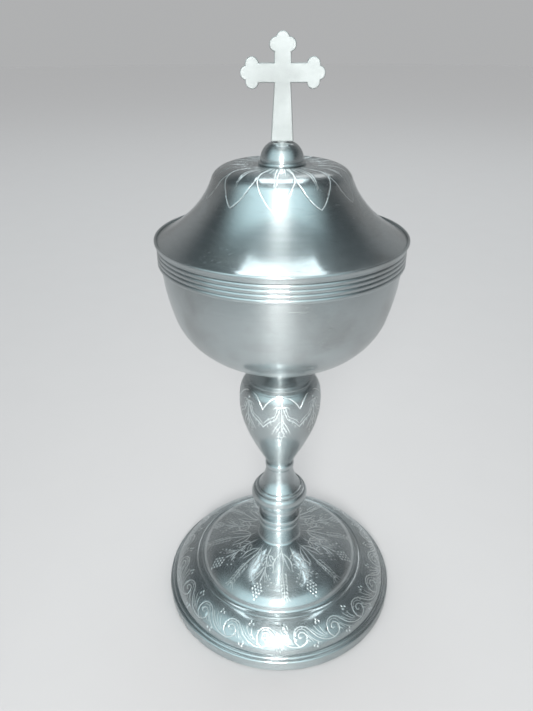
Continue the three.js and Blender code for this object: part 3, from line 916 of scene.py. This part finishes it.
# %% Lower knop
KNOP_FOOT = 8.6
KNOP_STEP = 12.4
KNOP_RING = 10.7
KNOP_NECK = 6.4
KNOP_BELLY_RISE = 7.4
KNOP_STEP_RISE = 2.9
KNOP_RING_RISE = 2.0
STEP_EDGE = ((0.05, 0.35), (0.45, 0.5), (0.7, 0.45))
RING_EDGE = ((-0.25, -0.1), (-0.2, 0.2), (0.2, 0.3), (0.4, 0.2))

knop_base, knop_top, knop_radius = level("lower_knop")
belly = (knop_radius, knop_base + KNOP_BELLY_RISE)
knop_step = belly[1] + KNOP_STEP_RISE
knop_ring = knop_step + KNOP_RING_RISE
knop_outline = [(ROD_BORE, knop_base - SEAT), (KNOP_FOOT, knop_base - SEAT)]
knop_outline += curve((KNOP_FOOT, knop_base), belly, [(0.55, 0.25), (1, 0.55)], 18)
knop_outline += curve(belly, (KNOP_STEP, knop_step), [(0, 0.5), (0.6, 0.9)], 8)[1:]
*step_edge, step_end = moulded((KNOP_STEP, knop_step), STEP_EDGE)
ring_start, *ring_edge, ring_end = moulded((KNOP_RING, knop_ring), RING_EDGE)
knop_outline += step_edge + curve(step_end, ring_start, [(0.1, 0.6), (0.7, 0.9)], 6)
knop_outline += ring_edge + curve(ring_end, (KNOP_NECK, knop_top), [(0.5, 0.25), (0.9, 0.6)], 16)
knop_outline += [(ROD_BORE, knop_top)]
finish_piece(spun(knop_outline, steps=192), "lower_knop_turned", "base", [polished])

# %% [markdown]
# Between the knop and the urn sits one small bead, a ring of its own on the rod.

# %% Neck ring
NECK_BEAD = 0.5

bead_base, bead_head, _ = level("neck_ring")
bead_outline = [(ROD_BORE, bead_base - SEAT)]
bead_outline += reeds((KNOP_NECK, bead_base - SEAT), (KNOP_NECK, bead_head), 1, NECK_BEAD)
bead_outline += [(ROD_BORE, bead_head)]
finish_piece(spun(bead_outline, steps=128), "neck_ring_turned", "base", [polished])

# %% [markdown]
# The urn knop is hollow: a tall body that is open at the top, and a cap that closes it. The seam between
# them lies among fine turned lines, which a helper cuts into the outline as small notches.

# %% Fine turned lines


def lined(points, height, half_width=0.2, depth=0.16):
    """The same points with a fine turned line: a notch where the outline passes a height."""
    points = [Vector(point) for point in points]
    for i, (start, end) in enumerate(zip(points, points[1:])):
        if min(start.y, end.y) < height <= max(start.y, end.y):
            middle = start.lerp(end, (height - start.y) / (end.y - start.y))
            along = (end - start).normalized()
            inward = Vector((-along.y, along.x))
            notch = [middle - along * half_width, middle + inward * depth, middle + along * half_width]
            before = [point for point in points[:i + 1] if (point - middle).length > half_width * 1.2]
            after = [point for point in points[i + 1:] if (point - middle).length > half_width * 1.2]
            return [tuple(point) for point in before + notch + after]
    raise ValueError(f"the outline never passes {height}")


# %% [markdown]
# The urn grows from a narrow neck in a long hollow bend, is widest near its top, and closes in over a
# round shoulder up to the seam.

# %% Urn knop
URN_NECK = 6.2
URN_SEAM = 14.8
URN_WALL = 1.0
URN_BELLY_RISE = 34.5
URN_LINE_DROP = 1.2          # from the seam down to the turned line on the urn
URN_LINE_RISE = 1.0          # and up to the one on its cap

urn_base, urn_top, urn_radius = level("urn_knop")
urn_belly = (urn_radius, urn_base + URN_BELLY_RISE)
urn_outline = [(ROD_BORE, urn_base - SEAT), (URN_NECK, urn_base - SEAT)]
urn_outline += curve((URN_NECK, urn_base), urn_belly, [(0.18, 0.16), (1, 0.6)], 36)
urn_outline += curve(urn_belly, (URN_SEAM, urn_top), [(0, 0.5), (0.15, 0.86)], 16)[1:]
urn_outline = lined(urn_outline, urn_top - URN_LINE_DROP)
urn_bm = spun(walled(urn_outline, URN_WALL, keep=3), steps=128)
print("the urn is", round(2 * urn_radius, 1), "mm wide and", round(urn_top - urn_base, 1), "mm high")

# %% [markdown]
# Round the urn hang seven garlands. Each dips to a point between two leafy drops, and a small pointed
# drapery hangs above it from two turned lines. Each drop is a burst of leaves over a stem that ends
# in a bellflower.

# %% Garlands on the urn
GARLANDS = 7
FIRST_DROP = 2.2             # degrees from the front
URN_GIRTH = 18.3             # the radius at which half a garland's width is measured
LINE_HEIGHT = 122.3          # heights above the table
DRAPERY_TIP_HEIGHT = 116.6
GARLAND_TIP_HEIGHT = 107.3
DROP_TOP_HEIGHT = 117.8
BELL_HEIGHT = 103.2

urn_skin = skin(urn_outline, 2, len(urn_outline) - 1)
half_garland = math.pi * URN_GIRTH / GARLANDS
line_height, drapery_tip, garland_tip, drop_top, bell = (
    length_at(urn_skin, "height", height)
    for height in (LINE_HEIGHT, DRAPERY_TIP_HEIGHT, GARLAND_TIP_HEIGHT, DROP_TOP_HEIGHT, BELL_HEIGHT))


def garland_sides():
    """The right half of a garland and its drapery, between a drop at x = 0 and the garland's tip."""
    edge = half_garland
    sides = [cut(smooth((1.0, line_height - 0.4), (3.6, line_height - 1.2), (edge - 1.9, drapery_tip + 2.8),
                        (edge, drapery_tip)), LINE * 1.5, (0.3, 0)),
             cut(smooth((0.8, drop_top - 0.5), (2.6, drop_top - 5.4), (edge - 2.6, garland_tip + 3.0),
                        (edge, garland_tip)), LINE * 1.3, (0.1, 0)),
             cut(smooth((1.9, drop_top - 0.8), (3.2, drop_top - 4.2), (edge - 2.1, garland_tip + 4.5),
                        (edge, garland_tip + 1.9)), LINE, (0.1, 0.1)),
             cut(smooth((0.5, garland_tip + 4.2), (2.2, garland_tip + 1.2), (3.6, garland_tip - 2.2),
                        (4.3, garland_tip - 4.2)), LINE * 1.2, (0.1, 0.5)),
             cut(smooth((0.4, garland_tip + 1.8), (1.6, garland_tip - 0.6), (2.4, garland_tip - 3.2)),
                 LINE, (0.1, 0.5))]
    for i in range(4):
        x, y = 2.0 + 1.35 * i, drop_top - 3.2 - 1.9 * i
        sides.append(cut(smooth((x, y), (x + 0.1, y - 0.9), (x - 0.5, y - 1.8)), LINE, (0.1, 0.6)))
    return sides


def drop_sides():
    """The right half of a drop: the leaves at its top and the bellflower at its foot."""
    sides = [cut(smooth((0.15, drop_top + 0.6), (spread * 0.75, drop_top + 0.9 - drop * 0.35),
                        (spread, drop_top + 0.6 - drop)), LINE, (0.1, 0.6))
             for spread, drop in ((1.1, 4.6), (2.5, 3.8), (3.8, 2.0))]
    sides.append(cut(smooth((0, bell + 2.2), (1.2, bell + 1.5), (1.0, bell + 0.2), (2.1, bell - 0.9)),
                     LINE, (0.2, 0.4)))
    sides.append(cut(smooth((2.1, bell - 0.9), (1.0, bell - 0.6), (0, bell - 1.6)), FINE_LINE, (0.2, 0.1)))
    return sides


def garland_motif():
    middle = [cut([(0, drop_top + 0.5), (0, bell + 2.2)], LINE * 1.3, (0.05, 0.05)),
              cut([(0, bell - 1.8), (0, bell - 4.2)], FINE_LINE, (0.1, 0.8)),
              dot(0, drop_top + 1.9, 0.6)]
    return middle + mirrored(garland_sides() + drop_sides())


engrave(urn_bm, urn_skin, *laid(urn_skin, garland_motif(), evenly(GARLANDS, FIRST_DROP)), finest=0.17)
finish_piece(urn_bm, "urn_knop_turned", "base", [polished], skins=[urn_skin])

# %% [markdown]
# The cap carries the urn's shoulder on over the seam. It is a thin cup upside down, with a hole for the
# rod.

# %% Urn cap
CAP_SEAT = 8.2

cap_base, cap_top, _ = level("urn_cap")
cap_outline = [(URN_SEAM, cap_base - SEAT)]
cap_outline += curve((URN_SEAM, cap_base + 0.2), (CAP_SEAT, cap_top), [(0.15, 0.67), (0.5, 1)], 12)
cap_outline = lined(cap_outline, cap_base + URN_LINE_RISE)
cap_outline += [(ROD_BORE, cap_top), (ROD_BORE, cap_top - URN_WALL), (CAP_SEAT, cap_top - URN_WALL),
                (URN_SEAM - URN_WALL, cap_base - SEAT)]
finish_piece(spun(cap_outline, steps=192), "urn_cap_turned", "base", [polished])

# %% [markdown]
# Under the bowl there is a short waisted neck, and a boss that takes the end of the tie rod in a blind
# hole.

# %% Bowl neck and boss
NECK_RADIUS = 7.6
NECK_WAIST = 6.4
BOSS_RADIUS = 8.6
BOSS_TOP = 9.0
BLIND_HOLE = 2.7

neck_base, neck_top, _ = level("bowl_neck")
waist = (NECK_WAIST, (neck_base + neck_top) / 2)
hollow = [(0.7, 0.3), (1, 0.6)]
neck_outline = [(ROD_BORE, neck_base - SEAT)]
neck_outline += curve((NECK_RADIUS, neck_base - SEAT), waist, hollow, 8)
neck_outline += curve((BOSS_RADIUS, neck_top), waist, hollow, 8)[-2::-1]
neck_outline += [(ROD_BORE, neck_top)]
finish_piece(spun(neck_outline, steps=128), "bowl_neck_turned", "base", [polished])

boss_base, boss_top, _ = level("bowl_boss")
hole_end = boss_base + BLIND_HOLE
boss_outline = [(0, hole_end), (ROD_BORE, hole_end), (ROD_BORE, boss_base - SEAT)]
boss_outline += [(BOSS_RADIUS, boss_base - SEAT)]
boss_outline += curve((BOSS_RADIUS, boss_base), (BOSS_TOP, boss_top), [(0, 0.5), (0.5, 0.9)], 5)
boss_outline += [(0, boss_top)]
finish_piece(spun(boss_outline, steps=128), "bowl_boss_turned", "base", [polished])

# %% [markdown]
# The bowl is spun from one sheet and gilt inside. Its wall is one closed skin, so the gilding goes on by
# asking each face which way it looks: faces that look inwards or up are gilt.

# %% Bowl
BOWL_FLAT = 9.0
BOWL_TURN = 44.0
BOWL_TURN_RISE = 21.8
REED_BAND = 7.2
SURELY_UP = 0.9              # a face whose normal rises more than this looks up

bowl_base, bowl_rim, bowl_radius = level("bowl")
bowl_turn = (BOWL_TURN, bowl_base + BOWL_TURN_RISE)
band_low = bowl_rim - REED_BAND
bowl_outline = [(0, bowl_base)]
bowl_outline += curve((BOWL_FLAT, bowl_base), bowl_turn, [(0.42, 0.02), (0.84, 0.34)], 40)
bowl_outline += curve(bowl_turn, (bowl_radius, band_low), [(0.4, 0.24), (1, 0.6)], 20)[1:]
bowl_outline += [(bowl_radius, bowl_rim)]
bowl_bm = spun(walled(bowl_outline, SHEET))
gilt_faces = 0
for face in bowl_bm.faces:
    middle = face.calc_center_median()
    outward = face.normal.dot(Vector((middle.x, middle.y, 0)))
    inside = middle.z > (bowl_base + SHEET / 2) * MM
    face.material_index = int(inside and (outward < -1e-6 or face.normal.z > SURELY_UP))
    gilt_faces += face.material_index
print(gilt_faces, "faces of the bowl are gilt")
finish_piece(bowl_bm, "bowl_turned", "base", [satin, gilt])

# %% [markdown]
# Four reeds run round the bowl's rim. They are one moulded wire, soldered on to stiffen the edge.

# %% Reeded band
REED_ROOT = 0.9
REED_HEIGHT = 0.6

reed_root = bowl_radius + REED_ROOT
reed_inside = bowl_radius + SEAM
band_outline = [(reed_inside, band_low)]
band_outline += reeds((reed_root, band_low), (reed_root, bowl_rim), 4, REED_HEIGHT)
band_outline += [(reed_inside, bowl_rim)]
finish_piece(spun(band_outline), "bowl_rim_band_turned", "base", [polished])

# %% [markdown]
# The lid's rim has a small hollow under a projecting lip, and inside it the bezel that drops into the
# bowl and keeps the lid in its place.

# %% Lid rim band and bezel
LIP = 0.9
LIP_REED = 0.6
LID_ROOT = 1.5
LIP_DROP = 0.25
LIP_BACK = ((0.1, -0.2), (0.5, -LIP_DROP))
BEZEL_WALL = 1.2
BEZEL_LEAD = (0.3, 0.6)      # in and up: the corner that finds its way into the bowl

lid_base, lip_top, lip_radius = level("lid_rim_band")
bezel_low, rabbet, bezel_radius = level("lid_bezel")
lip_foot = lip_top - LIP
lip_inside = lip_radius - LIP
lid_inside = bezel_radius + SEAM
lip_outline = [(lid_inside, lid_base)]
lip_outline += curve((bowl_radius + LID_ROOT, lid_base), (lip_radius, lip_foot), [(0, 0.6), (0.3, 1)], 8)
lip_outline += reeds((lip_radius, lip_foot + LIP_DROP), (lip_inside, lip_foot + LIP_DROP), 1, LIP_REED, 8)[1:]
lip_outline += moulded((lip_inside, lip_foot), LIP_BACK) + [(lid_inside, lip_foot - LIP_DROP)]
finish_piece(spun(lip_outline), "lid_rim_band_turned", "lid", [polished])

bezel_inside = bezel_radius - BEZEL_WALL
bezel_outline = [(bezel_inside, bezel_low), (bezel_radius - BEZEL_LEAD[0], bezel_low),
                 (bezel_radius, bezel_low + BEZEL_LEAD[1]), (bezel_radius, rabbet), (bezel_inside, rabbet)]
finish_piece(spun(bezel_outline), "lid_bezel_turned", "lid", [satin])

# %% [markdown]
# The lid's shell is spun from one sheet over a wooden form: a bell with a flat crown. Its lower edge
# has a narrow hem that tucks in behind the lip.

# %% Lid shell
LID_EDGE = 0.6               # in from the bowl's radius
CROWN_EDGE = 26.7
CROWN_EDGE_RISE = 22.1
CROWN_FLAT = 19.0
CROWN_RINGS = (17.5, 16, 14.5, 13, 11.5, 10, 8.5)
PIN_BORE = 2.3
BELL_STEPS = 60
PETALS_BELOW = 18            # steps of the bell that the petals reach down over
LID_HEM = ((0.25, -0.15), (0.3, 0.1), (0.7, 0.35))

crown_height = level("lid_shell")[1]
crown_edge = (CROWN_EDGE, lip_top + CROWN_EDGE_RISE)
lid_outline = moulded((lip_inside, lip_foot), LID_HEM)
lid_outline += curve((bowl_radius - LID_EDGE, lip_top), crown_edge, [(0.31, 0.16), (0.79, 0.475)], BELL_STEPS)
petal_start = len(lid_outline) - PETALS_BELOW
lid_outline += curve(crown_edge, (CROWN_FLAT, crown_height), [(0.09, 0.4), (0.42, 0.93)], 20)[1:]
lid_outline += [(radius, crown_height) for radius in CROWN_RINGS]
petal_end = len(lid_outline) - 1
lid_outline += [(PIN_BORE, crown_height)]
lid_bm = spun(walled(lid_outline, SHEET, keep=5))
print("the lid's shell rises", round(crown_height - lip_top, 1), "mm over its lip")

# %% [markdown]
# Eleven long petals lie on the lid's crown like an open daisy. Side by side they fill the crown, and
# past its edge each one draws in to a point. Two lines close together are its midrib.

# %% Petals on the lid
PETALS = 11
FIRST_PETAL = -5.0           # degrees from the front
PETAL_TIP_HEIGHT = 205.1
PETAL_ROOT_RADIUS = 9.6
PETAL_LINE = 0.27
PETAL_RIB = 0.24
PETAL_SHAPE = ((20, 15.3), (14, 16.1), (10.5, 15.0), (8, 12.6), (5.5, 9.6), (3, 6.0), (1.2, 2.8), (0, 0))
PETAL_ROOT_ANGLE = 14.0      # half a petal's angle, in degrees, as are the second numbers above

petal_skin = skin(lid_outline, petal_start, petal_end, from_last=True)
petal_root = length_at(petal_skin, "radius", PETAL_ROOT_RADIUS)
petal_tip = length_at(petal_skin, "height", PETAL_TIP_HEIGHT)


def petal_motif():
    """One petal, from its half angle at some distances before the tip, with its midrib and veins."""
    order = np.argsort(petal_skin["length"])
    side = []
    for before_tip, half_angle in ((petal_tip - petal_root, PETAL_ROOT_ANGLE), *PETAL_SHAPE):
        length = petal_tip - before_tip
        radius = np.interp(length, petal_skin["length"][order], petal_skin["radius"][order])
        side.append((radius * math.radians(half_angle), length))
    rib = [(0.65, petal_root + 0.3), (0.6, petal_root + 8), (0.4, petal_root + 14), (0.1, petal_tip - 6.5)]
    vein = [(1.5, petal_root + 0.5), (2.5, petal_root + 7), (3.2, petal_root + 12)]
    return mirrored([cut(smooth(*side), PETAL_LINE, (0.05, 0)), cut(smooth(*rib), PETAL_RIB, (0.1, 0.3)),
                     cut(smooth(*vein), FINE_LINE, (0.2, 0.6))])


engrave(lid_bm, petal_skin, *laid(petal_skin, petal_motif(), evenly(PETALS, FIRST_PETAL)), finest=0.17)
finish_piece(lid_bm, "lid_shell_turned", "lid", [satin], skins=[petal_skin])

# %% [markdown]
# A half-round boss on a thin ring carries the cross.

# %% Lid boss and its ring
RING_REED = 0.45
LID_BOSS_TOP = 4.4

ring_base, ring_head, ring_radius = level("lid_boss_ring")
ring_inside = ring_radius - RING_REED
ring_outline = [(PIN_BORE, ring_base - SEAT)]
ring_outline += reeds((ring_inside, ring_base - SEAT), (ring_inside, ring_head), 1, RING_REED)
ring_outline += [(PIN_BORE, ring_head)]
finish_piece(spun(ring_outline, steps=128), "lid_boss_ring_turned", "lid", [polished])

lid_boss_base, lid_boss_top, lid_boss_radius = level("lid_boss")
lid_boss_outline = [(PIN_BORE, lid_boss_base - SEAT), (lid_boss_radius, lid_boss_base - SEAT)]
lid_boss_outline += curve((lid_boss_radius, lid_boss_base), (LID_BOSS_TOP, lid_boss_top),
                          [(0, 0.4), (0.4, 0.85)], 20)
lid_boss_outline += [(PIN_BORE, lid_boss_top)]
finish_piece(spun(lid_boss_outline, steps=128), "lid_boss_turned", "lid", [polished])

# %% [markdown]
# The cross is cast flat, with three round buds at each free end. Its outline is walked in one go:
# along the bar, round one side bud to where it crosses the tip's bud, round the tip, and back. Each free
# end is drawn pointing up, and turned into place.

# %% Cross outline
SHAFT_FOOT = 8.45
SHAFT_TOP = 6.1
ARM_WIDTH = 6.5
ARM_HEIGHT = 23.1
ARM_REACH = 15.2
TOP_REACH = 13.3
BUD = 2.45
SIDE_BUD_SPREAD = 2.85
TOP_BUD_SPREAD = 2.35
BUD_INSET = 4.3
BUD_STEPS = 14


def arc(centre, start, end, steps=BUD_STEPS):
    """Points of a bud from one angle down to the next, both in radians."""
    return [(centre[0] + BUD * math.cos(start + (end - start) * i / steps),
             centre[1] + BUD * math.sin(start + (end - start) * i / steps)) for i in range(steps + 1)]


def budded_end(width, reach, spread):
    """One end of the cross that runs along +Y, walked from its left edge to its right one."""
    left, tip = (-spread, reach - BUD_INSET), (0, reach - BUD)
    bar_angle = 2 * math.pi - math.acos((spread - width / 2) / BUD)
    between = Vector(tip) - Vector(left)
    half = math.acos(between.length / 2 / BUD)
    slope = math.atan2(between.y, between.x)
    side_bud = arc(left, bar_angle, slope + half)
    other_side = [(-x, y) for x, y in side_bud[-2::-1]]
    return side_bud + arc(tip, math.pi + slope - half, half - slope)[1:] + other_side


def turned_about(points, angle):
    turn = Matrix.Rotation(angle, 2)
    return [tuple(turn @ Vector(point)) for point in points]


left_arm, right_arm = (turned_about(budded_end(ARM_WIDTH, ARM_REACH, SIDE_BUD_SPREAD), angle)
                       for angle in (math.pi / 2, -math.pi / 2))
cross_outline = [(SHAFT_FOOT / 2, -ARM_HEIGHT), (-SHAFT_FOOT / 2, -ARM_HEIGHT)]
cross_outline += [(-SHAFT_TOP / 2, -ARM_WIDTH / 2)] + left_arm + [(-SHAFT_TOP / 2, ARM_WIDTH / 2)]
cross_outline += budded_end(SHAFT_TOP, TOP_REACH, TOP_BUD_SPREAD) + [(SHAFT_TOP / 2, ARM_WIDTH / 2)]
cross_outline += right_arm + [(SHAFT_TOP / 2, -ARM_WIDTH / 2)]
print("the cross's outline has", len(cross_outline), "points")

# %% [markdown]
# The outline becomes one face, which is extruded to the cross's thickness and gets its soft edge from a
# bevel. Weighted normals keep the broad faces flat up to that edge. The pin that goes down through the
# boss is turned, as it would be on a lathe.

# %% Cross
CROSS_THICKNESS = 2.6
CROSS_LIFT = 0.3             # its foot stands this far over the boss
CROSS_BEVEL = 0.5
PIN_RADIUS = 2.0
PIN_CHAMFER = ((0.3, 0), (0, 0.4))

pin_foot = level("cross")[0]
cross_foot = lid_boss_top + CROSS_LIFT


def pin_mesh():
    outline = [(0, pin_foot), *moulded((PIN_RADIUS, pin_foot), PIN_CHAMFER)]
    outline += [(PIN_RADIUS, cross_foot), (0, cross_foot + 1)]
    pin_bm = spun(outline, steps=48, closed=False)
    mesh = bpy.data.meshes.new("pin")
    pin_bm.to_mesh(mesh)
    pin_bm.free()
    return mesh


def cross_piece():
    bm = bmesh.new()
    verts = [bm.verts.new((x * MM, CROSS_THICKNESS / 2 * MM, (cross_foot + ARM_HEIGHT + y) * MM))
             for x, y in cross_outline]
    back = bm.faces.new(verts)
    grown = bmesh.ops.extrude_face_region(bm, geom=[back])["geom"]
    moved = [item for item in grown if isinstance(item, bmesh.types.BMVert)]
    bmesh.ops.translate(bm, verts=moved, vec=(0, -CROSS_THICKNESS * MM, 0))
    bmesh.ops.recalc_face_normals(bm, faces=bm.faces)
    rims = [edge for edge in bm.edges if abs(edge.verts[0].co.y - edge.verts[1].co.y) < 1e-9]
    bmesh.ops.bevel(bm, geom=rims, offset=CROSS_BEVEL * MM, offset_type="OFFSET", segments=4, profile=0.5,
                    affect="EDGES", material=-1, clamp_overlap=True)
    pin = pin_mesh()
    bm.from_mesh(pin)
    bpy.data.meshes.remove(pin)
    return bm


cross = finish_piece(cross_piece(), "cross_cast", "lid", [cast], node="cross", sharp=50)
flat_faces = cross.modifiers.new("flat_faces", "WEIGHTED_NORMAL")
flat_faces.keep_sharp = True

# %% [markdown]
# What holds it together is plain brass: a tie rod up the stem, a washer and a nut under the foot, and
# a smaller washer and nut inside the lid. The washers are turned.

# %% Washers
WASHER_FOOT = ((0.15, 0), (0, 0.2))
WASHER_TOP = ((0, -0.35), (0.3, -0.05), (0.5, 0))


def washer(node, body, bore):
    low, high, radius = level(node)
    outline = [(bore, low), *moulded((radius, low), WASHER_FOOT)]
    outline += [*moulded((radius, high), WASHER_TOP), (bore, high)]
    finish_piece(spun(outline, steps=96), node + "_turned", body, [brass])


washer("foot_washer", "base", ROD_BORE)
washer("cross_washer", "lid", PIN_BORE)

# %% [markdown]
# A nut is six rings of points that are bridged one to the next: the bore, a round chamfer and the
# hexagon at the lower end, and the same three at the upper one. The chamfer rounds off the corners.

# %% Nuts
NUT_POINTS = 72
NUT_CHAMFER = 0.97           # the chamfer's radius, as a share of half the width across the flats
CHAMFER_SLOPE = 0.5


def nut(node, body, bore):
    low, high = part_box(node)
    flats = min(high.x - low.x, high.y - low.y) / 2 / MM
    turn = 0 if high.x > high.y else math.pi / 6
    chamfer = flats * NUT_CHAMFER
    kinds = ("bore", "round", "hex")
    ends = [(kind, low.z / MM, 1) for kind in kinds] + [(kind, high.z / MM, -1) for kind in kinds[::-1]]
    bm = bmesh.new()
    loops = []
    for kind, height, inwards in ends:
        loop = bmesh.ops.create_circle(bm, segments=NUT_POINTS, radius=bore * MM, cap_ends=False)["verts"]
        for i, vert in enumerate(loop):
            angle = 2 * math.pi * i / NUT_POINTS
            corner = flats / math.cos((angle - turn) % (math.pi / 3) - math.pi / 6)
            radius = {"bore": bore, "round": chamfer, "hex": corner}[kind]
            drop = inwards * (corner - chamfer) * CHAMFER_SLOPE if kind == "hex" else 0
            vert.co = Vector((radius * math.cos(angle), radius * math.sin(angle), height + drop)) * MM
        loops.append([edge for edge in bm.edges if all(vert in loop for vert in edge.verts)])
    for first, second in zip(loops, loops[1:] + loops[:1]):
        bmesh.ops.bridge_loops(bm, edges=first + second)
    bmesh.ops.recalc_face_normals(bm, faces=bm.faces)
    finish_piece(bm, node + "_turned", body, [brass], sharp=25)


nut("foot_nut", "base", ROD_BORE)
nut("cross_nut", "lid", PIN_BORE)

# %% [markdown]
# The tie rod is turned with many points along its lower end. There each point is then pulled in by how
# far it stands from the crest of the thread, which climbs by one pitch a turn.

# %% Tie rod
PITCH = 1.0
THREAD_DEPTH = 0.5
THREAD_ROWS = 8              # points to a millimetre
THREAD_LENGTH = 12
ROD_CHAMFER = ((0.6, 0), (0, 0.5))


def threaded(outline, low, high, radius):
    """A turned rod whose surface between two heights is cut with a screw thread."""
    bm = spun(outline, steps=48, closed=False)
    for vert in bm.verts:
        height = vert.co.z / MM
        if low < height < high and vert.co.xy.length / MM > radius - 0.01:
            turn = math.atan2(vert.co.y, vert.co.x) / (2 * math.pi)
            off_crest = abs(((height / PITCH - turn) % 1) * 2 - 1)
            vert.co.xy *= (radius - THREAD_DEPTH * off_crest) / radius
    bmesh.ops.recalc_face_normals(bm, faces=bm.faces)
    return bm


rod_low, rod_high, rod_radius = level("tie_rod")
rod_outline = [(0, rod_low), *moulded((rod_radius, rod_low), ROD_CHAMFER)]
thread_foot = rod_outline[-1][1]
rod_outline += [(rod_radius, thread_foot + row / THREAD_ROWS)
                for row in range(1, THREAD_LENGTH * THREAD_ROWS)]
rod_outline += [(rod_radius, rod_high), (0, rod_high)]
rod_bm = threaded(rod_outline, rod_low, rod_low + THREAD_LENGTH, rod_radius)
finish_piece(rod_bm, "tie_rod_turned", "base", [brass])
